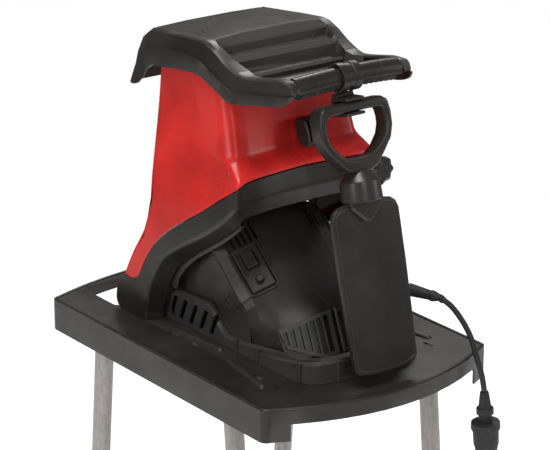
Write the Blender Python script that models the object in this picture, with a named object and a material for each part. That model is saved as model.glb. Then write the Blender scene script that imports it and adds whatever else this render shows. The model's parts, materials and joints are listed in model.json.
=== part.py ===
"""Electric garden shredder on a four-legged stand.

A red feed hopper with a black hood hinges back over a tilted motor and its blade disc. A tamper hangs
from the hood's carrying bar, and the stand rolls on two wheels.

The design frame is in millimetres: x to the right, y to the back, z up from the top of the base plate.
place() turns it into the world frame, whose origin is on the floor under the middle of the object.
The slanted frame of the motor has its own pair of axes, see tilted().
"""

import math

import bmesh
import bpy
import numpy as np
from mathutils import Vector

MM = 0.001

# Overall sizes
PLATE_TOP = 523.0
MIDDLE_SHIFT = 9.5
PLATE_HALF_WIDTH = 181.5
PLATE_HALF_LENGTH = 244.0
PLATE_FRONT = 292.0
PLATE_REAR = 273.0
SKIRT_HEIGHT = 43.0
END_SKIRT_HEIGHT = 20.0
WALL = 3.0
GAP = 0.4

# Stand
LEG_RADIUS = 12.7
LEG_X = 159.6
LEG_FRONT_Y = -148.0
LEG_REAR_Y = 145.0
LEG_SPLAY = 0.096
WHEEL_RADIUS = 75.0
WHEEL_X = 185.0
AXLE_RADIUS = 5.0
AXLE_END = 189.0

# Motor and blade disc: the axis lies in the middle plane, 41 degrees below level towards the front
AXIS_TILT = math.radians(41.0)
AXIS_LIFT = 75.0
DRUM_RADIUS = 144.0
DRUM_CREST = 142.0
STATOR_RADIUS = 45.0
DISC_RADIUS = 70.0
DISC_STATION = -132.0

# Hopper hinge, carrying bar and tamper
HINGE_Y = 152.3
HINGE_Z = 14.0
BAR_Y = -168.0
BAR_Z = 375.5
BAR_RADIUS = 14.0
BAR_HALF_LENGTH = 81.3
TAMPER_TOP_Y = -174.5
TAMPER_TOP_Z = 348.4
TAMPER_TILT = math.radians(13.8)

CORD_DIAMETER = 7.5
# The cord's route from the sleeve, over the front edge of the base plate, down to the hanging plug
CORD_ROUTE = (
    (108.5, -231.0, 79.5),
    (117.0, -243.0, 70.0),
    (124.5, -257.0, 52.0),
    (131.5, -266.5, 30.0),
    (138.0, -272.0, 2.0),
    (144.5, -274.5, -22.0),
    (149.0, -275.3, -45.0),
)
PLUG_AXIS = (0.062, -0.02, -0.998)


# ---------------------------------------------------------------- frames and curves


def place(x, y, z):
    """A point of the design frame in the world frame."""
    return Vector((x, y + MIDDLE_SHIFT, z + PLATE_TOP)) * MM


def tilted(x, along, across):
    """A point given along the motor's axis (down and forward) and across it (up and forward)."""
    down = math.sin(AXIS_TILT)
    level = math.cos(AXIS_TILT)
    return (x, -level * along - down * across, -down * along + level * across)


def drum_height(x):
    """How far across the motor's axis frame the round top of the housing lies, at a given x."""
    return DRUM_CREST - DRUM_RADIUS + math.sqrt(DRUM_RADIUS**2 - x**2)


def tamper_point(x, down, forward):
    """A point of the hanging tamper, measured down its length and forward of its middle plane."""
    lean = math.sin(TAMPER_TILT)
    upright = math.cos(TAMPER_TILT)
    y = TAMPER_TOP_Y - lean * down - upright * forward
    return (x, y, TAMPER_TOP_Z - upright * down + lean * forward)


def smooth_path(points, parts, closed=False):
    """A Catmull-Rom curve through the points, each span divided into the given number of parts."""
    given = [np.array(point, float) for point in points]
    count = len(given)
    spans = count if closed else count - 1
    result = []
    for span in range(spans):
        if closed:
            before, start, end, after = (given[(span + k) % count] for k in (-1, 0, 1, 2))
        else:
            before = given[max(span - 1, 0)]
            start, end = given[span], given[span + 1]
            after = given[min(span + 2, count - 1)]
        for part in range(parts):
            t = part / parts
            pull = (end - before) * 0.5
            push = (after - start) * 0.5
            result.append(
                start * (2 * t**3 - 3 * t**2 + 1)
                + end * (3 * t**2 - 2 * t**3)
                + pull * (t**3 - 2 * t**2 + t)
                + push * (t**3 - t**2)
            )
    if not closed:
        result.append(given[-1])
    return [tuple(point) for point in result]


def graph(pairs, position):
    """The height of a broken line, given as (position, height) pairs in any order."""
    ordered = sorted(pairs)
    return float(np.interp(position, [p[0] for p in ordered], [p[1] for p in ordered]))


def soft_graph(pairs, position, reach=14.0):
    """The broken line with its corners rounded over a reach to both sides."""
    steps = [reach * k / 4 for k in range(-4, 5)]
    return sum(graph(pairs, position + step) for step in steps) / len(steps)


def mirrored(half):
    """A row of points from the left side to the middle, completed with its right half."""
    return list(half) + [(-x, y, z) for x, y, z in reversed(half[:-1])]


# ---------------------------------------------------------------- materials


def material(name, colour, roughness, metallic=0.0):
    made = bpy.data.materials.new(name)
    made.use_nodes = True
    shader = made.node_tree.nodes["Principled BSDF"]
    shader.inputs["Base Color"].default_value = (*colour, 1.0)
    shader.inputs["Roughness"].default_value = roughness
    shader.inputs["Metallic"].default_value = metallic
    return made


# ---------------------------------------------------------------- solids


def is_twisted(face):
    """Whether a face has a corner more than a hundredth of a millimetre off its plane."""
    centre = face.calc_center_median()
    return any(abs((vert.co - centre).dot(face.normal)) > 0.01 * MM for vert in face.verts)


def solid(name, points, faces, look, origin=(0.0, 0.0, 0.0)):
    """A closed mesh from points of the design frame, with its object's origin where asked."""
    base = place(*origin)
    mesh = bpy.data.meshes.new(name)
    mesh.from_pydata([place(*point) - base for point in points], [], faces)
    shell = bmesh.new()
    shell.from_mesh(mesh)
    bmesh.ops.recalc_face_normals(shell, faces=shell.faces)
    bmesh.ops.triangulate(shell, faces=[face for face in shell.faces if is_twisted(face)])
    shell.to_mesh(mesh)
    shell.free()
    mesh.shade_smooth()
    mesh.set_sharp_from_angle(angle=math.radians(35))
    made = bpy.data.objects.new(name, mesh)
    made.location = base
    bpy.context.scene.collection.objects.link(made)
    if look:
        mesh.materials.append(look)
    return made


def loft_faces(loops, size, first=0):
    """The side faces and end caps of a row of equal loops."""
    faces = []
    for row in range(loops - 1):
        for k in range(size):
            following = (k + 1) % size
            low = first + row * size
            faces.append((low + k, low + following, low + size + following, low + size + k))
    faces.append(tuple(first + k for k in reversed(range(size))))
    faces.append(tuple(first + (loops - 1) * size + k for k in range(size)))
    return faces


def loft(name, loops, look, origin=(0.0, 0.0, 0.0)):
    points = [point for loop in loops for point in loop]
    return solid(name, points, loft_faces(len(loops), len(loops[0])), look, origin)


def grid_ring(name, rows, look, origin=(0.0, 0.0, 0.0)):
    """A solid whose skin is a grid that closes on itself both ways, such as a ring."""
    count, size = len(rows), len(rows[0])
    faces = []
    for row in range(count):
        for k in range(size):
            up, right = (row + 1) % count, (k + 1) % size
            faces.append((row * size + k, row * size + right, up * size + right, up * size + k))
    return solid(name, [point for row in rows for point in row], faces, look, origin)


def double_skin(name, outer, inner, look, closed=False, origin=(0.0, 0.0, 0.0)):
    """A thin wall between two grids of rows. A closed wall joins each row's end to its start."""
    rows, size = len(outer), len(outer[0])
    offset = rows * size
    points = [point for row in outer for point in row] + [point for row in inner for point in row]
    faces = []
    for row in range(rows - 1):
        for k in range(size if closed else size - 1):
            following = (k + 1) % size
            a, b = row * size + k, row * size + following
            c, d = b + size, a + size
            faces.append((a, b, c, d))
            faces.append((offset + d, offset + c, offset + b, offset + a))
    for row in (0, rows - 1):
        for k in range(size if closed else size - 1):
            a, b = row * size + k, row * size + (k + 1) % size
            faces.append((a, b, offset + b, offset + a))
    if not closed:
        for row in range(rows - 1):
            for k in (0, size - 1):
                a, b = row * size + k, (row + 1) * size + k
                faces.append((a, b, offset + b, offset + a))
    return solid(name, points, faces, look, origin)


def offset_inwards(rows, depth, towards):
    """The rows moved by a depth along their own normals, to the side where a given point lies."""
    grid = np.array(rows, float)
    down = np.gradient(grid, axis=0)
    along = np.gradient(grid, axis=1)
    normal = np.cross(down, along)
    length = np.linalg.norm(normal, axis=2, keepdims=True)
    normal = normal / np.maximum(length, 1e-9)
    facing = np.sum(normal * (np.array(towards) - grid), axis=2, keepdims=True)
    moved = grid + normal * np.where(facing < 0, -depth, depth)
    return [[tuple(point) for point in row] for row in moved]


def circle(centre, axis, radius, steps, phase=0.0):
    """A ring of points round an axis of the design frame."""
    axis = Vector(axis).normalized()
    side = axis.cross(Vector((0.0, 0.0, 1.0)) if abs(axis.z) < 0.9 else Vector((1.0, 0.0, 0.0)))
    side.normalize()
    other = axis.cross(side)
    ring = []
    for step in range(steps):
        turn = 2 * math.pi * step / steps + phase
        ring.append(tuple(Vector(centre) + radius * (side * math.cos(turn) + other * math.sin(turn))))
    return ring


def along_axis(base, axis, distance):
    return tuple(Vector(base) + Vector(axis).normalized() * distance)


def turned(name, profile, base, axis, look, steps=24, bored=False, origin=None):
    """A turned piece from (distance along the axis, radius) pairs. A bored one has a closed profile."""
    rings = [circle(along_axis(base, axis, d), axis, r, steps) for d, r in profile]
    make = grid_ring if bored else loft
    return make(name, rings, look, origin or (0.0, 0.0, 0.0))


def prism(name, outline, plane, low, high, look, origin=(0.0, 0.0, 0.0)):
    """A flat outline extruded along the axis that the plane leaves out: 'xy', 'xz' or 'yz'."""
    return loft(name, prism_loops(outline, plane, low, high), look, origin)


def prism_loops(outline, plane, low, high):
    order = {"xy": lambda p, h: (*p, h), "xz": lambda p, h: (p[0], h, p[1]), "yz": lambda p, h: (h, *p)}
    return [[order[plane](point, height) for point in outline] for height in (low, high)]


def cut(made, lofts):
    """Takes a group of closed lofts, none touching another, out of a solid."""
    points, faces = [], []
    for loops in lofts:
        faces += loft_faces(len(loops), len(loops[0]), len(points))
        points += [point for loop in loops for point in loop]
    cutter = solid(made.name + "_cutter", points, faces, None)
    cutter.hide_render = True
    cutter.display_type = "WIRE"
    modifier = made.modifiers.new("openings", "BOOLEAN")
    modifier.object = cutter
    modifier.solver = "EXACT"
    return made


def box_loops(x, y, z):
    return prism_loops(((x[0], y[0]), (x[1], y[0]), (x[1], y[1]), (x[0], y[1])), "xy", *z)


# ---------------------------------------------------------------- base plate and stand


def plate_outline(inset):
    """The base plate seen from above: straight sides, bowed ends and round corners."""
    side = PLATE_HALF_WIDTH - inset
    corner = 11.5 - min(inset, 8.0)
    half = []
    for end, sign in ((PLATE_FRONT, -1.0), (PLATE_REAR, 1.0)):
        crown = sign * (end - inset)
        shoulder = sign * (PLATE_HALF_LENGTH - inset)
        flank = side - corner
        bow = [(flank * k / 6, crown + (shoulder - crown) * (k / 6) ** 2) for k in range(7)]
        turn = [
            (
                flank + corner * math.sin(math.radians(angle)),
                shoulder - sign * corner * (1 - math.cos(math.radians(angle))),
            )
            for angle in (35, 62, 90)
        ]
        part = bow + turn
        half += part if sign < 0 else part[::-1]
    left = [(-x, y) for x, y in reversed(half) if x > 0]
    return half + left


def base_plate(look):
    """A tray turned upside down, with openings for the chips, the tilting hopper and the cable slots."""
    made = prism("base_plate", plate_outline(0.0), "xy", -SKIRT_HEIGHT, 0.0, look)
    hollow = prism_loops(plate_outline(3.5), "xy", -SKIRT_HEIGHT - 5, -4.0)
    cut(made, [hollow])
    block_width = PLATE_HALF_WIDTH - 32
    ends = [
        box_loops((-block_width, block_width), (-310.0, -236.0), (-60.0, -END_SKIRT_HEIGHT)),
        box_loops((-block_width, block_width), (236.0, 300.0), (-60.0, -END_SKIRT_HEIGHT)),
    ]
    tilt_opening = (
        (-126.0, 170.0), (-120.0, 165.0), (120.0, 165.0), (126.0, 170.0),
        (126.0, 240.0), (118.0, 250.0), (-118.0, 250.0), (-126.0, 240.0),
    )
    openings = [
        prism_loops(tilt_opening, "xy", -10.0, 10.0),
        box_loops((-70.0, 70.0), (40.0, 140.0), (-10.0, 10.0)),
    ]
    for side in (-1, 1):
        for middle in (37.0, -7.0, -103.0, -149.0, -195.0):
            x = side * 121.5
            openings.append(box_loops((x - 2.5, x + 2.5), (middle - 9, middle + 9), (-10.0, 10.0)))
    cut(made, ends + openings)
    return made


def leg_point(front, height):
    """The y of a leg's centre line at a height of the design frame."""
    start, sign = (LEG_FRONT_Y, -1) if front else (LEG_REAR_Y, 1)
    return start + sign * LEG_SPLAY * (-SKIRT_HEIGHT - height)


def stand(black, steel, rubber, chrome):
    floor = -PLATE_TOP
    axle_z = floor + WHEEL_RADIUS
    axle_y = leg_point(True, axle_z)
    for side, where in ((-1, "left"), (1, "right")):
        for front in (True, False):
            place_name = ("front_" if front else "rear_") + where
            x = side * LEG_X
            low = floor + (48.0 if front else 12.0)
            ends = [(x, leg_point(front, z), z) for z in (low, -6.0)]
            axis = Vector(ends[1]) - Vector(ends[0])
            tube = ((0.0, LEG_RADIUS), (axis.length, LEG_RADIUS))
            leg = turned("leg_" + place_name, tube, ends[0], axis, steel, 20)
            if front:
                hole = [(x + step, axle_y, axle_z) for step in (-20, 20)]
                cut(leg, [[circle(end, (1, 0, 0), AXLE_RADIUS + GAP, 16) for end in hole]])
            sleeve = ((0.0, 17.5), (34.0, 17.0), (34.0, LEG_RADIUS + GAP), (0.0, LEG_RADIUS + GAP))
            bottom = (x, leg_point(front, -SKIRT_HEIGHT), -SKIRT_HEIGHT)
            turned("leg_socket_" + place_name, sleeve, bottom, axis, black, 20, bored=True)
            if not front:
                sole = (x, leg_point(False, floor), floor)
                rings = [circle(sole, (0, 0, 1), r, 20) for r in (16.5, 18.0)]
                rings[1] = [(px, py, pz + 3.0) for px, py, pz in rings[1]]
                foot = ((30.0, 16.0), (30.0, LEG_RADIUS + GAP), (8.0, LEG_RADIUS + GAP), (8.0, 3.0))
                rings += [circle(along_axis(sole, axis, d), (0, 0, 1), r, 20) for d, r in foot]
                loft("foot_" + where, rings, rubber)
        brace_z = floor + 150.0
        brace_ends = [leg_point(front, brace_z) for front in (True, False)]
        inner = (brace_ends[0] + LEG_RADIUS + 0.9, brace_ends[1] - LEG_RADIUS - 0.9)
        base = (side * LEG_X, inner[0], brace_z)
        turned("side_brace_" + where, ((0.0, 8.0), (inner[1] - inner[0], 8.0)), base, (0, 1, 0), steel, 16)
        hub = (side * WHEEL_X, axle_y, axle_z)
        wheel(where, side, hub, black)
    reach = LEG_X - LEG_RADIUS - 0.5
    for front, name, height in ((True, "cross_tube_front", 210.0), (False, "cross_tube_rear", 210.0)):
        z = floor + height
        base = (-reach, leg_point(front, z), z)
        turned(name, ((0.0, 8.0), (2 * reach, 8.0)), base, (1, 0, 0), steel, 16)
    axle = ((0.0, AXLE_RADIUS), (2 * AXLE_END, AXLE_RADIUS))
    turned("wheel_axle", axle, (-AXLE_END, axle_y, axle_z), (1, 0, 0), chrome, 16)


def wheel(where, side, hub, black):
    """A moulded wheel with a dished web."""
    bore = AXLE_RADIUS + GAP
    profile = (
        (-11.0, bore), (-11.0, 16.0), (-5.0, 18.0), (-4.0, 55.0), (-11.0, 60.0), (-11.0, 71.0),
        (-8.0, WHEEL_RADIUS), (8.0, WHEEL_RADIUS), (11.0, 71.0), (11.0, 60.0), (4.0, 55.0), (2.0, 18.0),
        (5.0, 14.0), (5.0, bore),
    )
    turned("wheel_" + where, profile, hub, (side, 0, 0), black, 36, bored=True, origin=hub)


# ---------------------------------------------------------------- hood and carrying bar

# Lines along the hood, as (y, z) or (y, half width) pairs from its rear edge to the front ends of its arms
HOOD_SKIRT = (
    (157, 313), (141, 314), (124, 324), (110, 345), (98, 351), (80, 352.5), (9, 363), (-9, 360),
    (-39, 350),
    (-66, 339), (-85, 341), (-118, 347), (-153, 353), (-168, 357), (-180, 364), (-184.5, 371),
)
HOOD_CREASE = (
    (157, 313.8), (150, 328), (135, 352), (120, 368), (84, 376.6), (9, 386), (-19, 371), (-51, 360),
    (-72, 354),
    (-87, 355), (-157, 367), (-184.5, 373),
)
HOOD_RAIL = (
    (157, 315), (153, 335), (146, 360), (135, 382), (120, 393), (9, 404), (-9, 404), (-28, 398),
    (-52, 384.5),
    (-80, 375), (-93, 375), (-143, 385), (-158, 388), (-172, 387.5), (-180, 384), (-184.5, 377),
)
HOOD_ROOF = (
    (157, 315), (153, 336), (146, 361), (135, 383.5), (120, 394.5), (0, 407), (-9, 407), (-21, 396),
    (-21.6, 386),
    (-40.4, 383), (-41, 387.5), (-48, 381.5), (-48.6, 372), (-67.4, 366), (-68, 369.6), (-72, 366.5),
    (-72.6, 361), (-104, 359), (-184.5, 374),
)
HOOD_UNDERSIDE = (
    (157, 314.5), (120, 394), (0, 406), (-9, 402), (-20, 384), (-47, 370), (-72, 359), (-104, 357),
    (-184.5, 373),
)
HOOD_HALF_WIDTH = (
    (157, 103), (120, 107), (-66, 107), (-118, 101), (-158, 100), (-176, 98.5), (-184.5, 95),
)
HOOD_RAIL_WIDTH = (
    (157, 97), (116, 93), (0, 99), (-60, 98), (-118, 95.5), (-158, 95.5), (-176, 94.5),
    (-184.5, 91.5),
)
HOOD_STEP_WIDTH = ((157, 82), (0, 84), (-21, 83), (-48, 78), (-72, 73), (-104, 77), (-184.5, 77.6))
EXTRA_STATIONS = {112, 98, 80, 40, -30, -58, -86, -118, -140, -153, -164, -172, -178, -182}


def hood_stations():
    return sorted({y for y, _ in HOOD_ROOF} | EXTRA_STATIONS, reverse=True)


def hood_row(y, inner):
    """One cross-section of the hood, from the bottom of its left skirt to its right one."""
    skirt, crease, rail = (graph(line, y) for line in (HOOD_SKIRT, HOOD_CREASE, HOOD_RAIL))
    width, rail_width, step_width = (
        graph(line, y) for line in (HOOD_HALF_WIDTH, HOOD_RAIL_WIDTH, HOOD_STEP_WIDTH)
    )
    roof = graph(HOOD_UNDERSIDE if inner else HOOD_ROOF, y)
    wall = 2.4
    side = wall if inner else 0.0
    drop = wall if inner else 0.0
    lean = wall * 0.8 if inner else 0.0
    lowest = skirt
    crease = max(crease, skirt + 0.8)
    rail = max(rail, crease + 1.0)
    middle = (crease + rail) / 2
    half = [
        (-(width - side), y, lowest),
        (-(width - 0.6 - side), y, crease - 0.5 - drop * 0.15),
        (-(width - 4.0 - side), y, crease + 0.2 - drop * 0.4),
        (-((width + rail_width) / 2 - 1.5 - side), y, middle - drop * 0.6),
        (-(rail_width + 0.5 - side), y, rail - 3.5 * (rail - crease) / 30 - drop * 0.8),
        (-(rail_width - 5.0 - side), y, rail - drop),
        (-(step_width + 3.5 + lean * 0.5), y, rail - 0.5 - drop),
        (-(step_width + lean), y, min(roof, rail) - drop),
        (-step_width * 0.45, y, roof - drop),
        (0.0, y, roof - drop),
    ]
    return mirrored(half)


def hood(look):
    stations = hood_stations()
    outer = [hood_row(y, False) for y in stations]
    inner = [hood_row(y, True) for y in stations]
    # The inner skin stops short of the tapering ends, so that the wall keeps its thickness there.
    rear_y = outer[0][0][1] - 2.0
    inner[0] = [(x * 0.995, rear_y, outer[0][k][2]) for k, (x, _, _) in enumerate(inner[1])]
    made = double_skin("hood", outer, inner, look)
    cut(made, [box_loops((-82.0, 82.0), (-195.0, -104.0), (320.0, 420.0))])
    return made


def bar_loops(angles, radius, stations, ribbed):
    loops = []
    for number, x in enumerate(stations):
        arch = 3.0 * (1 - (x / BAR_HALF_LENGTH) ** 2)
        size = radius - (1.1 if ribbed and number % 4 in (2, 3) else 0.0)
        loops.append([
            (x, BAR_Y + size * math.cos(math.radians(a)), BAR_Z + arch + size * math.sin(math.radians(a)))
            for a in angles
        ])
    return loops


def carrying_bar(black, soft):
    """The bar's hard upper shell and the ribbed soft strip along its underside."""
    reach = BAR_HALF_LENGTH
    plain = [reach * k / 6 for k in range(-6, 7)]
    loft("carrying_bar", bar_loops(range(-18, 199, 18), BAR_RADIUS, plain, False), black)
    ribs = []
    pitch = 8.0
    for k in range(-9, 10):
        middle = k * pitch
        ribs += [middle - 2.9, middle - 1.5, middle - 1.2, middle + 1.2]
    ribs = [x for x in ribs if abs(x) < reach]
    under = bar_loops(range(-162, -17, 24), BAR_RADIUS - 0.2, ribs, True)
    drop = 1.0
    loft("grip_strip", [[(x, y, z - drop) for x, y, z in loop] for loop in under], soft)


def tamper_clip(look):
    """A ring round the carrying bar and the open jaw under it that holds the tamper's handle."""
    centre = (0.0, BAR_Y, BAR_Z + 3.0)
    ring = (
        (-15.0, 15.0), (-15.0, 18.6), (-5.0, 18.6), (-4.0, 17.2), (4.0, 17.2), (5.0, 18.6), (15.0, 18.6),
        (15.0, 15.0),
    )
    turned("clip_ring", ring, centre, (1, 0, 0), look, 28, bored=True)
    jaw = (
        (-17.5, -4.2), (-14.5, -6.2), (-14.0, -11.0), (-6.0, -11.5), (-4.5, -6.5), (14.0, -4.6),
        (16.5, -2.6),
        (14.5, -0.8), (-13.8, -0.8), (-13.8, 13.9), (12.0, 13.9), (14.0, 16.0), (12.0, 18.0),
        (-17.5, 18.0),
    )
    loops = [[tamper_point(x, down, forward) for forward, down in jaw] for x in (-14.0, 14.0)]
    loft("tamper_clip", loops, look)


def hook_bracket(look):
    """A slotted holder for the cable on the front of the hopper."""
    outline = ((-62, 298), (-68, 272), (-74, 266), (-88, 265), (-91, 269), (-88, 284), (-80, 298))
    made = prism("hook_bracket", outline, "yz", 3.0, 29.0, look)
    cut(made, [box_loops((x - 2.2, x + 2.2), (-110.0, -76.0), (272.0, 320.0)) for x in (9.5, 16.0, 22.5)])
    return made


# ---------------------------------------------------------------- hopper and its black arch

HOPPER_WIDTH = (
    (0, 124), (50, 124), (144, 121), (200, 117), (241, 110), (268, 105), (300, 102.6), (400, 99),
)
HOPPER_REAR = (
    (20, 170), (50, 152), (80, 138), (104, 122), (129, 104), (150, 95), (177, 94), (216, 95),
    (269, 98), (331, 93), (400, 88),
)
# Height of the rim, hidden in the hood, against the share of the way from the rear edge to the front
HOPPER_RIM = ((0.0, 362.0), (0.3, 370.0), (0.8, 358.0), (1.0, 350.0))
SHOULDER = 268.0

# Pairs of (y, z) on the arch's outer edge, its crease and its inner edge, from the foot to the front corner
ARCH_SIDE = (
    ((152.3, GAP), (98.0, GAP), (90.0, GAP)),
    ((162.0, 4.3), (97.5, 6.0), (89.0, 4.0)),
    ((166.0, 14.0), (97.0, 13.0), (88.0, 9.0)),
    ((160.0, 37.0), (94.0, 24.0), (85.0, 18.0)),
    ((150.0, 50.5), (91.5, 36.0), (81.5, 29.0)),
    ((131.0, 50.5), (89.0, 46.0), (77.0, 41.0)),
    ((113.0, 58.0), (84.0, 57.0), (71.0, 54.0)),
    ((97.0, 85.0), (75.0, 75.0), (60.0, 73.0)),
    ((72.0, 117.0), (58.0, 98.0), (45.0, 90.0)),
    ((33.0, 148.0), (24.0, 122.0), (12.0, 114.0)),
    ((-20.0, 181.0), (-22.0, 149.0), (-32.0, 142.0)),
    ((-55.0, 205.0), (-60.0, 175.0), (-65.0, 165.0)),
    ((-76.0, 219.0), (-82.0, 194.0), (-83.0, 179.0)),
)
# Points (x, y, z) on the same three edges, from the front corner to the middle
ARCH_FRONT = (
    ((-115.5, -96.0, 231.5), (-118.5, -98.0, 207.5), (-101.0, -92.0, 190.0)),
    ((-100.0, -95.0, 237.0), (-105.0, -100.0, 213.5), (-95.0, -96.0, 194.0)),
    ((-80.0, -95.0, 240.0), (-80.0, -101.0, 216.0), (-78.0, -97.0, 196.0)),
    ((-40.0, -92.0, 241.0), (-40.0, -99.0, 217.5), (-40.0, -95.0, 197.0)),
    ((0.0, -90.0, 241.5), (0.0, -98.0, 218.0), (0.0, -94.0, 197.0)),
)


def arch_stations():
    """The arch's three edges as rows of points on the left half, joined by smooth curves."""
    edges = []
    for number in range(3):
        side = []
        for station in ARCH_SIDE:
            y, z = station[number]
            x = -(soft_graph(HOPPER_WIDTH, z) + 1.6) if number < 2 else -104.0
            side.append((x, y, z))
        edges.append(smooth_path(side + [station[number] for station in ARCH_FRONT], 2))
    return edges


def arch_trim(look):
    rows = [mirrored(edge) for edge in arch_stations()]
    inner = []
    for number, row in enumerate(rows):
        moved = []
        for x, y, z in row:
            if y < -70.0:
                share = min(1.0, max(0.0, (abs(x) - 70.0) / 30.0))
                moved.append((x - math.copysign(WALL * share, x), y + WALL, z))
                continue
            back = (0.0, 1.9, 1.9)[number]
            inward = (WALL, WALL, 0.5)[number]
            rise = back * min(1.0, (z - GAP) / 15.0)
            moved.append((x - math.copysign(inward, x), y + back, z + rise))
        inner.append(moved)
    return double_skin("arch_trim", rows, inner, look)


HOPPER_FOOT = 51.8
REAR_COLUMNS = ((0.0, 0.0), (0.5, 0.0), (0.92, 0.0), (0.98, 2.0), (1.0, 8.0))
# Where the side meets the front corner, above the arch, as (z, y) pairs
FRONT_CORNER = ((229.5, -90.0), (268.0, -66.0), (347.0, -46.0), (400.0, -40.0))
FRONT_SHOULDER = ((0, -62), (45, -66), (80, -71), (100, -71), (116, -66))
RIM_FRONT = -47.5


def hopper_columns():
    """The upright lines of the left half of the hopper, each with its kind and its foot."""
    outer, crease, _ = arch_stations()
    columns = [("rear", fraction, back, HOPPER_FOOT) for fraction, back in REAR_COLUMNS]
    first = 10
    for edge, lower in zip(outer[first:], crease[first:]):
        away = (Vector(edge) - Vector(lower)).normalized()
        x, y, z = Vector(edge) + away * 2.2
        columns.append(("side" if y > -80.0 else "front", x, y, z))
    return columns


def hopper_side_limit(columns, z):
    """The y at which the side ends towards the arch or the front corner, at a height z."""
    feet = [(foot, y) for kind, _, y, foot in columns if kind == "side"]
    return graph(tuple(feet) + FRONT_CORNER, z)


def hopper_point(columns, column, level):
    """A point of the hopper's skin: level 0 is its foot, 1 its shoulder and 2 its rim."""
    kind, x, y, foot = column
    side_share = (foot - HOPPER_FOOT) / (FRONT_CORNER[0][0] - HOPPER_FOOT)
    rim_share = {"rear": 0.0, "side": side_share, "front": 1.0}[kind]
    if level <= 1:
        z = foot + (SHOULDER - foot) * level
    else:
        z = SHOULDER + (graph(HOPPER_RIM, rim_share) - SHOULDER) * (level - 1)
    width = soft_graph(HOPPER_WIDTH, z)
    rear = soft_graph(HOPPER_REAR, z)
    if kind == "rear":
        fraction, back = x, y
        return (-fraction * width, rear - back, z)
    if kind == "side":
        back_edge = rear - REAR_COLUMNS[-1][1]
        low = HOPPER_FOOT - 6.0
        share = (foot - low) / (z - low)
        return (-width, back_edge + share * (hopper_side_limit(columns, z) - back_edge), z)
    share = (abs(x) - (1.6 if x < -104.0 else 0.0)) / soft_graph(HOPPER_WIDTH, foot)
    if share > 0.985:
        share = 1.0 + (share - 1.0) * max(0.0, 1.0 - level)
    shoulder_y = graph(FRONT_SHOULDER, abs(x))
    if level <= 1:
        return (-share * width, y + (shoulder_y - y) * level, z)
    return (-share * width, shoulder_y + (RIM_FRONT - shoulder_y) * (level - 1), z)


def hopper_shell(look):
    columns = hopper_columns()
    rows = []
    for level in (0.0, 0.25, 0.5, 0.75, 1.0, 1.4, 2.0):
        half = [hopper_point(columns, column, level) for column in columns]
        right = [(-x, y, z) for x, y, z in reversed(half[1:-1])]
        rows.append(half + right)
    inner = []
    for row in rows:
        size = len(row)
        moved = []
        for k, (x, y, z) in enumerate(row):
            before, after = row[k - 1], row[(k + 1) % size]
            run = Vector((after[0] - before[0], after[1] - before[1], 0.0)).normalized()
            inward = Vector((-run.y, run.x, 0.0))
            if inward.dot(Vector((0.0 - x, 20.0 - y, 0.0))) < 0:
                inward = -inward
            moved.append((x + inward.x * WALL, y + inward.y * WALL, z))
        inner.append(moved)
    made = double_skin("hopper_shell", rows, inner, look, closed=True)
    window = (
        (-78.0, 204.0), (78.0, 204.0), (84.0, 212.0), (84.0, 314.0), (78.0, 322.0), (-78.0, 322.0),
        (-84.0, 314.0), (-84.0, 212.0),
    )
    cut(made, [prism_loops(window, "xz", 70.0, 130.0)])
    return made


def feed_chute(look):
    """The funnel from the window in the hopper's back down to the cutting chamber."""
    mouth = [(-80.0, 89.0, 208.0), (80.0, 89.0, 208.0), (80.0, 86.0, 318.0), (-80.0, 86.0, 318.0)]
    middle = [(-62.0, 86.0, 182.0), (62.0, 86.0, 182.0), (62.0, 30.0, 262.0), (-62.0, 30.0, 262.0)]
    throat_station = DISC_STATION - 25.0
    low, high = tilted(0.0, throat_station, 55.0), tilted(0.0, throat_station, 128.0)
    throat = [(-44.0, *low[1:]), (44.0, *low[1:]), (44.0, *high[1:]), (-44.0, *high[1:])]
    outer = [mouth, middle, throat]
    inner = []
    for loop in outer:
        centre = sum((Vector(point) for point in loop), Vector()) / 4
        inner.append([tuple(Vector(point) + (centre - Vector(point)).normalized() * 3.4) for point in loop])
    return double_skin("feed_chute", outer, inner, look, closed=True)


def hinge(black, steel):
    """Two lugs on the base plate and the pins of the hopper that turn in them."""
    for side, where in ((-1, "left"), (1, "right")):
        x = sorted((side * 79.0, side * 89.0))
        outline = ((HINGE_Y - 14, GAP), (HINGE_Y + 11, GAP), (HINGE_Y + 10, 22.0), (HINGE_Y - 9, 23.0))
        lug = prism("hinge_lug_" + where, outline, "yz", x[0], x[1], black)
        bore = [circle((side * step, HINGE_Y, HINGE_Z), (1, 0, 0), 4.0 + GAP, 16) for step in (70.0, 99.0)]
        cut(lug, [bore])
        base = (side * 77.0, HINGE_Y, HINGE_Z)
        pin = ((0.0, 6.5), (1.6, 6.5), (1.6, 4.0), (23.4, 4.0))
        turned("hinge_pin_" + where, pin, base, (side, 0, 0), steel, 16)


# ---------------------------------------------------------------- motor housing and shroud


# The nose is a prow of two flat faces that meet on a ridge in the middle plane. These are the corners of its
# left half, from the side to the ridge: the upper edge of the face, then its foot.
HOUSING_COLUMNS = (-93.0, -84.0, -70.0, -52.5, -35.0, -17.5, 0.0)
RIDGE_TOP = (0.0, -143.0, 65.0)
RIDGE_FOOT = (0.0, -167.2, 6.0)
FACE_TOP_CORNER = (-70.0, -121.0, 42.0)
FACE_FOOT_CORNER = (-66.0, -137.5, 6.0)
NOSE_SIDE_TOP = ((-91.0, -88.0, 50.0), (-82.0, -104.0, 45.0))
NOSE_SIDE_FOOT = ((-82.0, -89.0, 6.0), (-76.5, -115.0, 6.0))


def between(start, end, parts):
    """Evenly spaced points from start to end, both included."""
    return [tuple(Vector(start).lerp(Vector(end), k / parts)) for k in range(parts + 1)]


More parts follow.
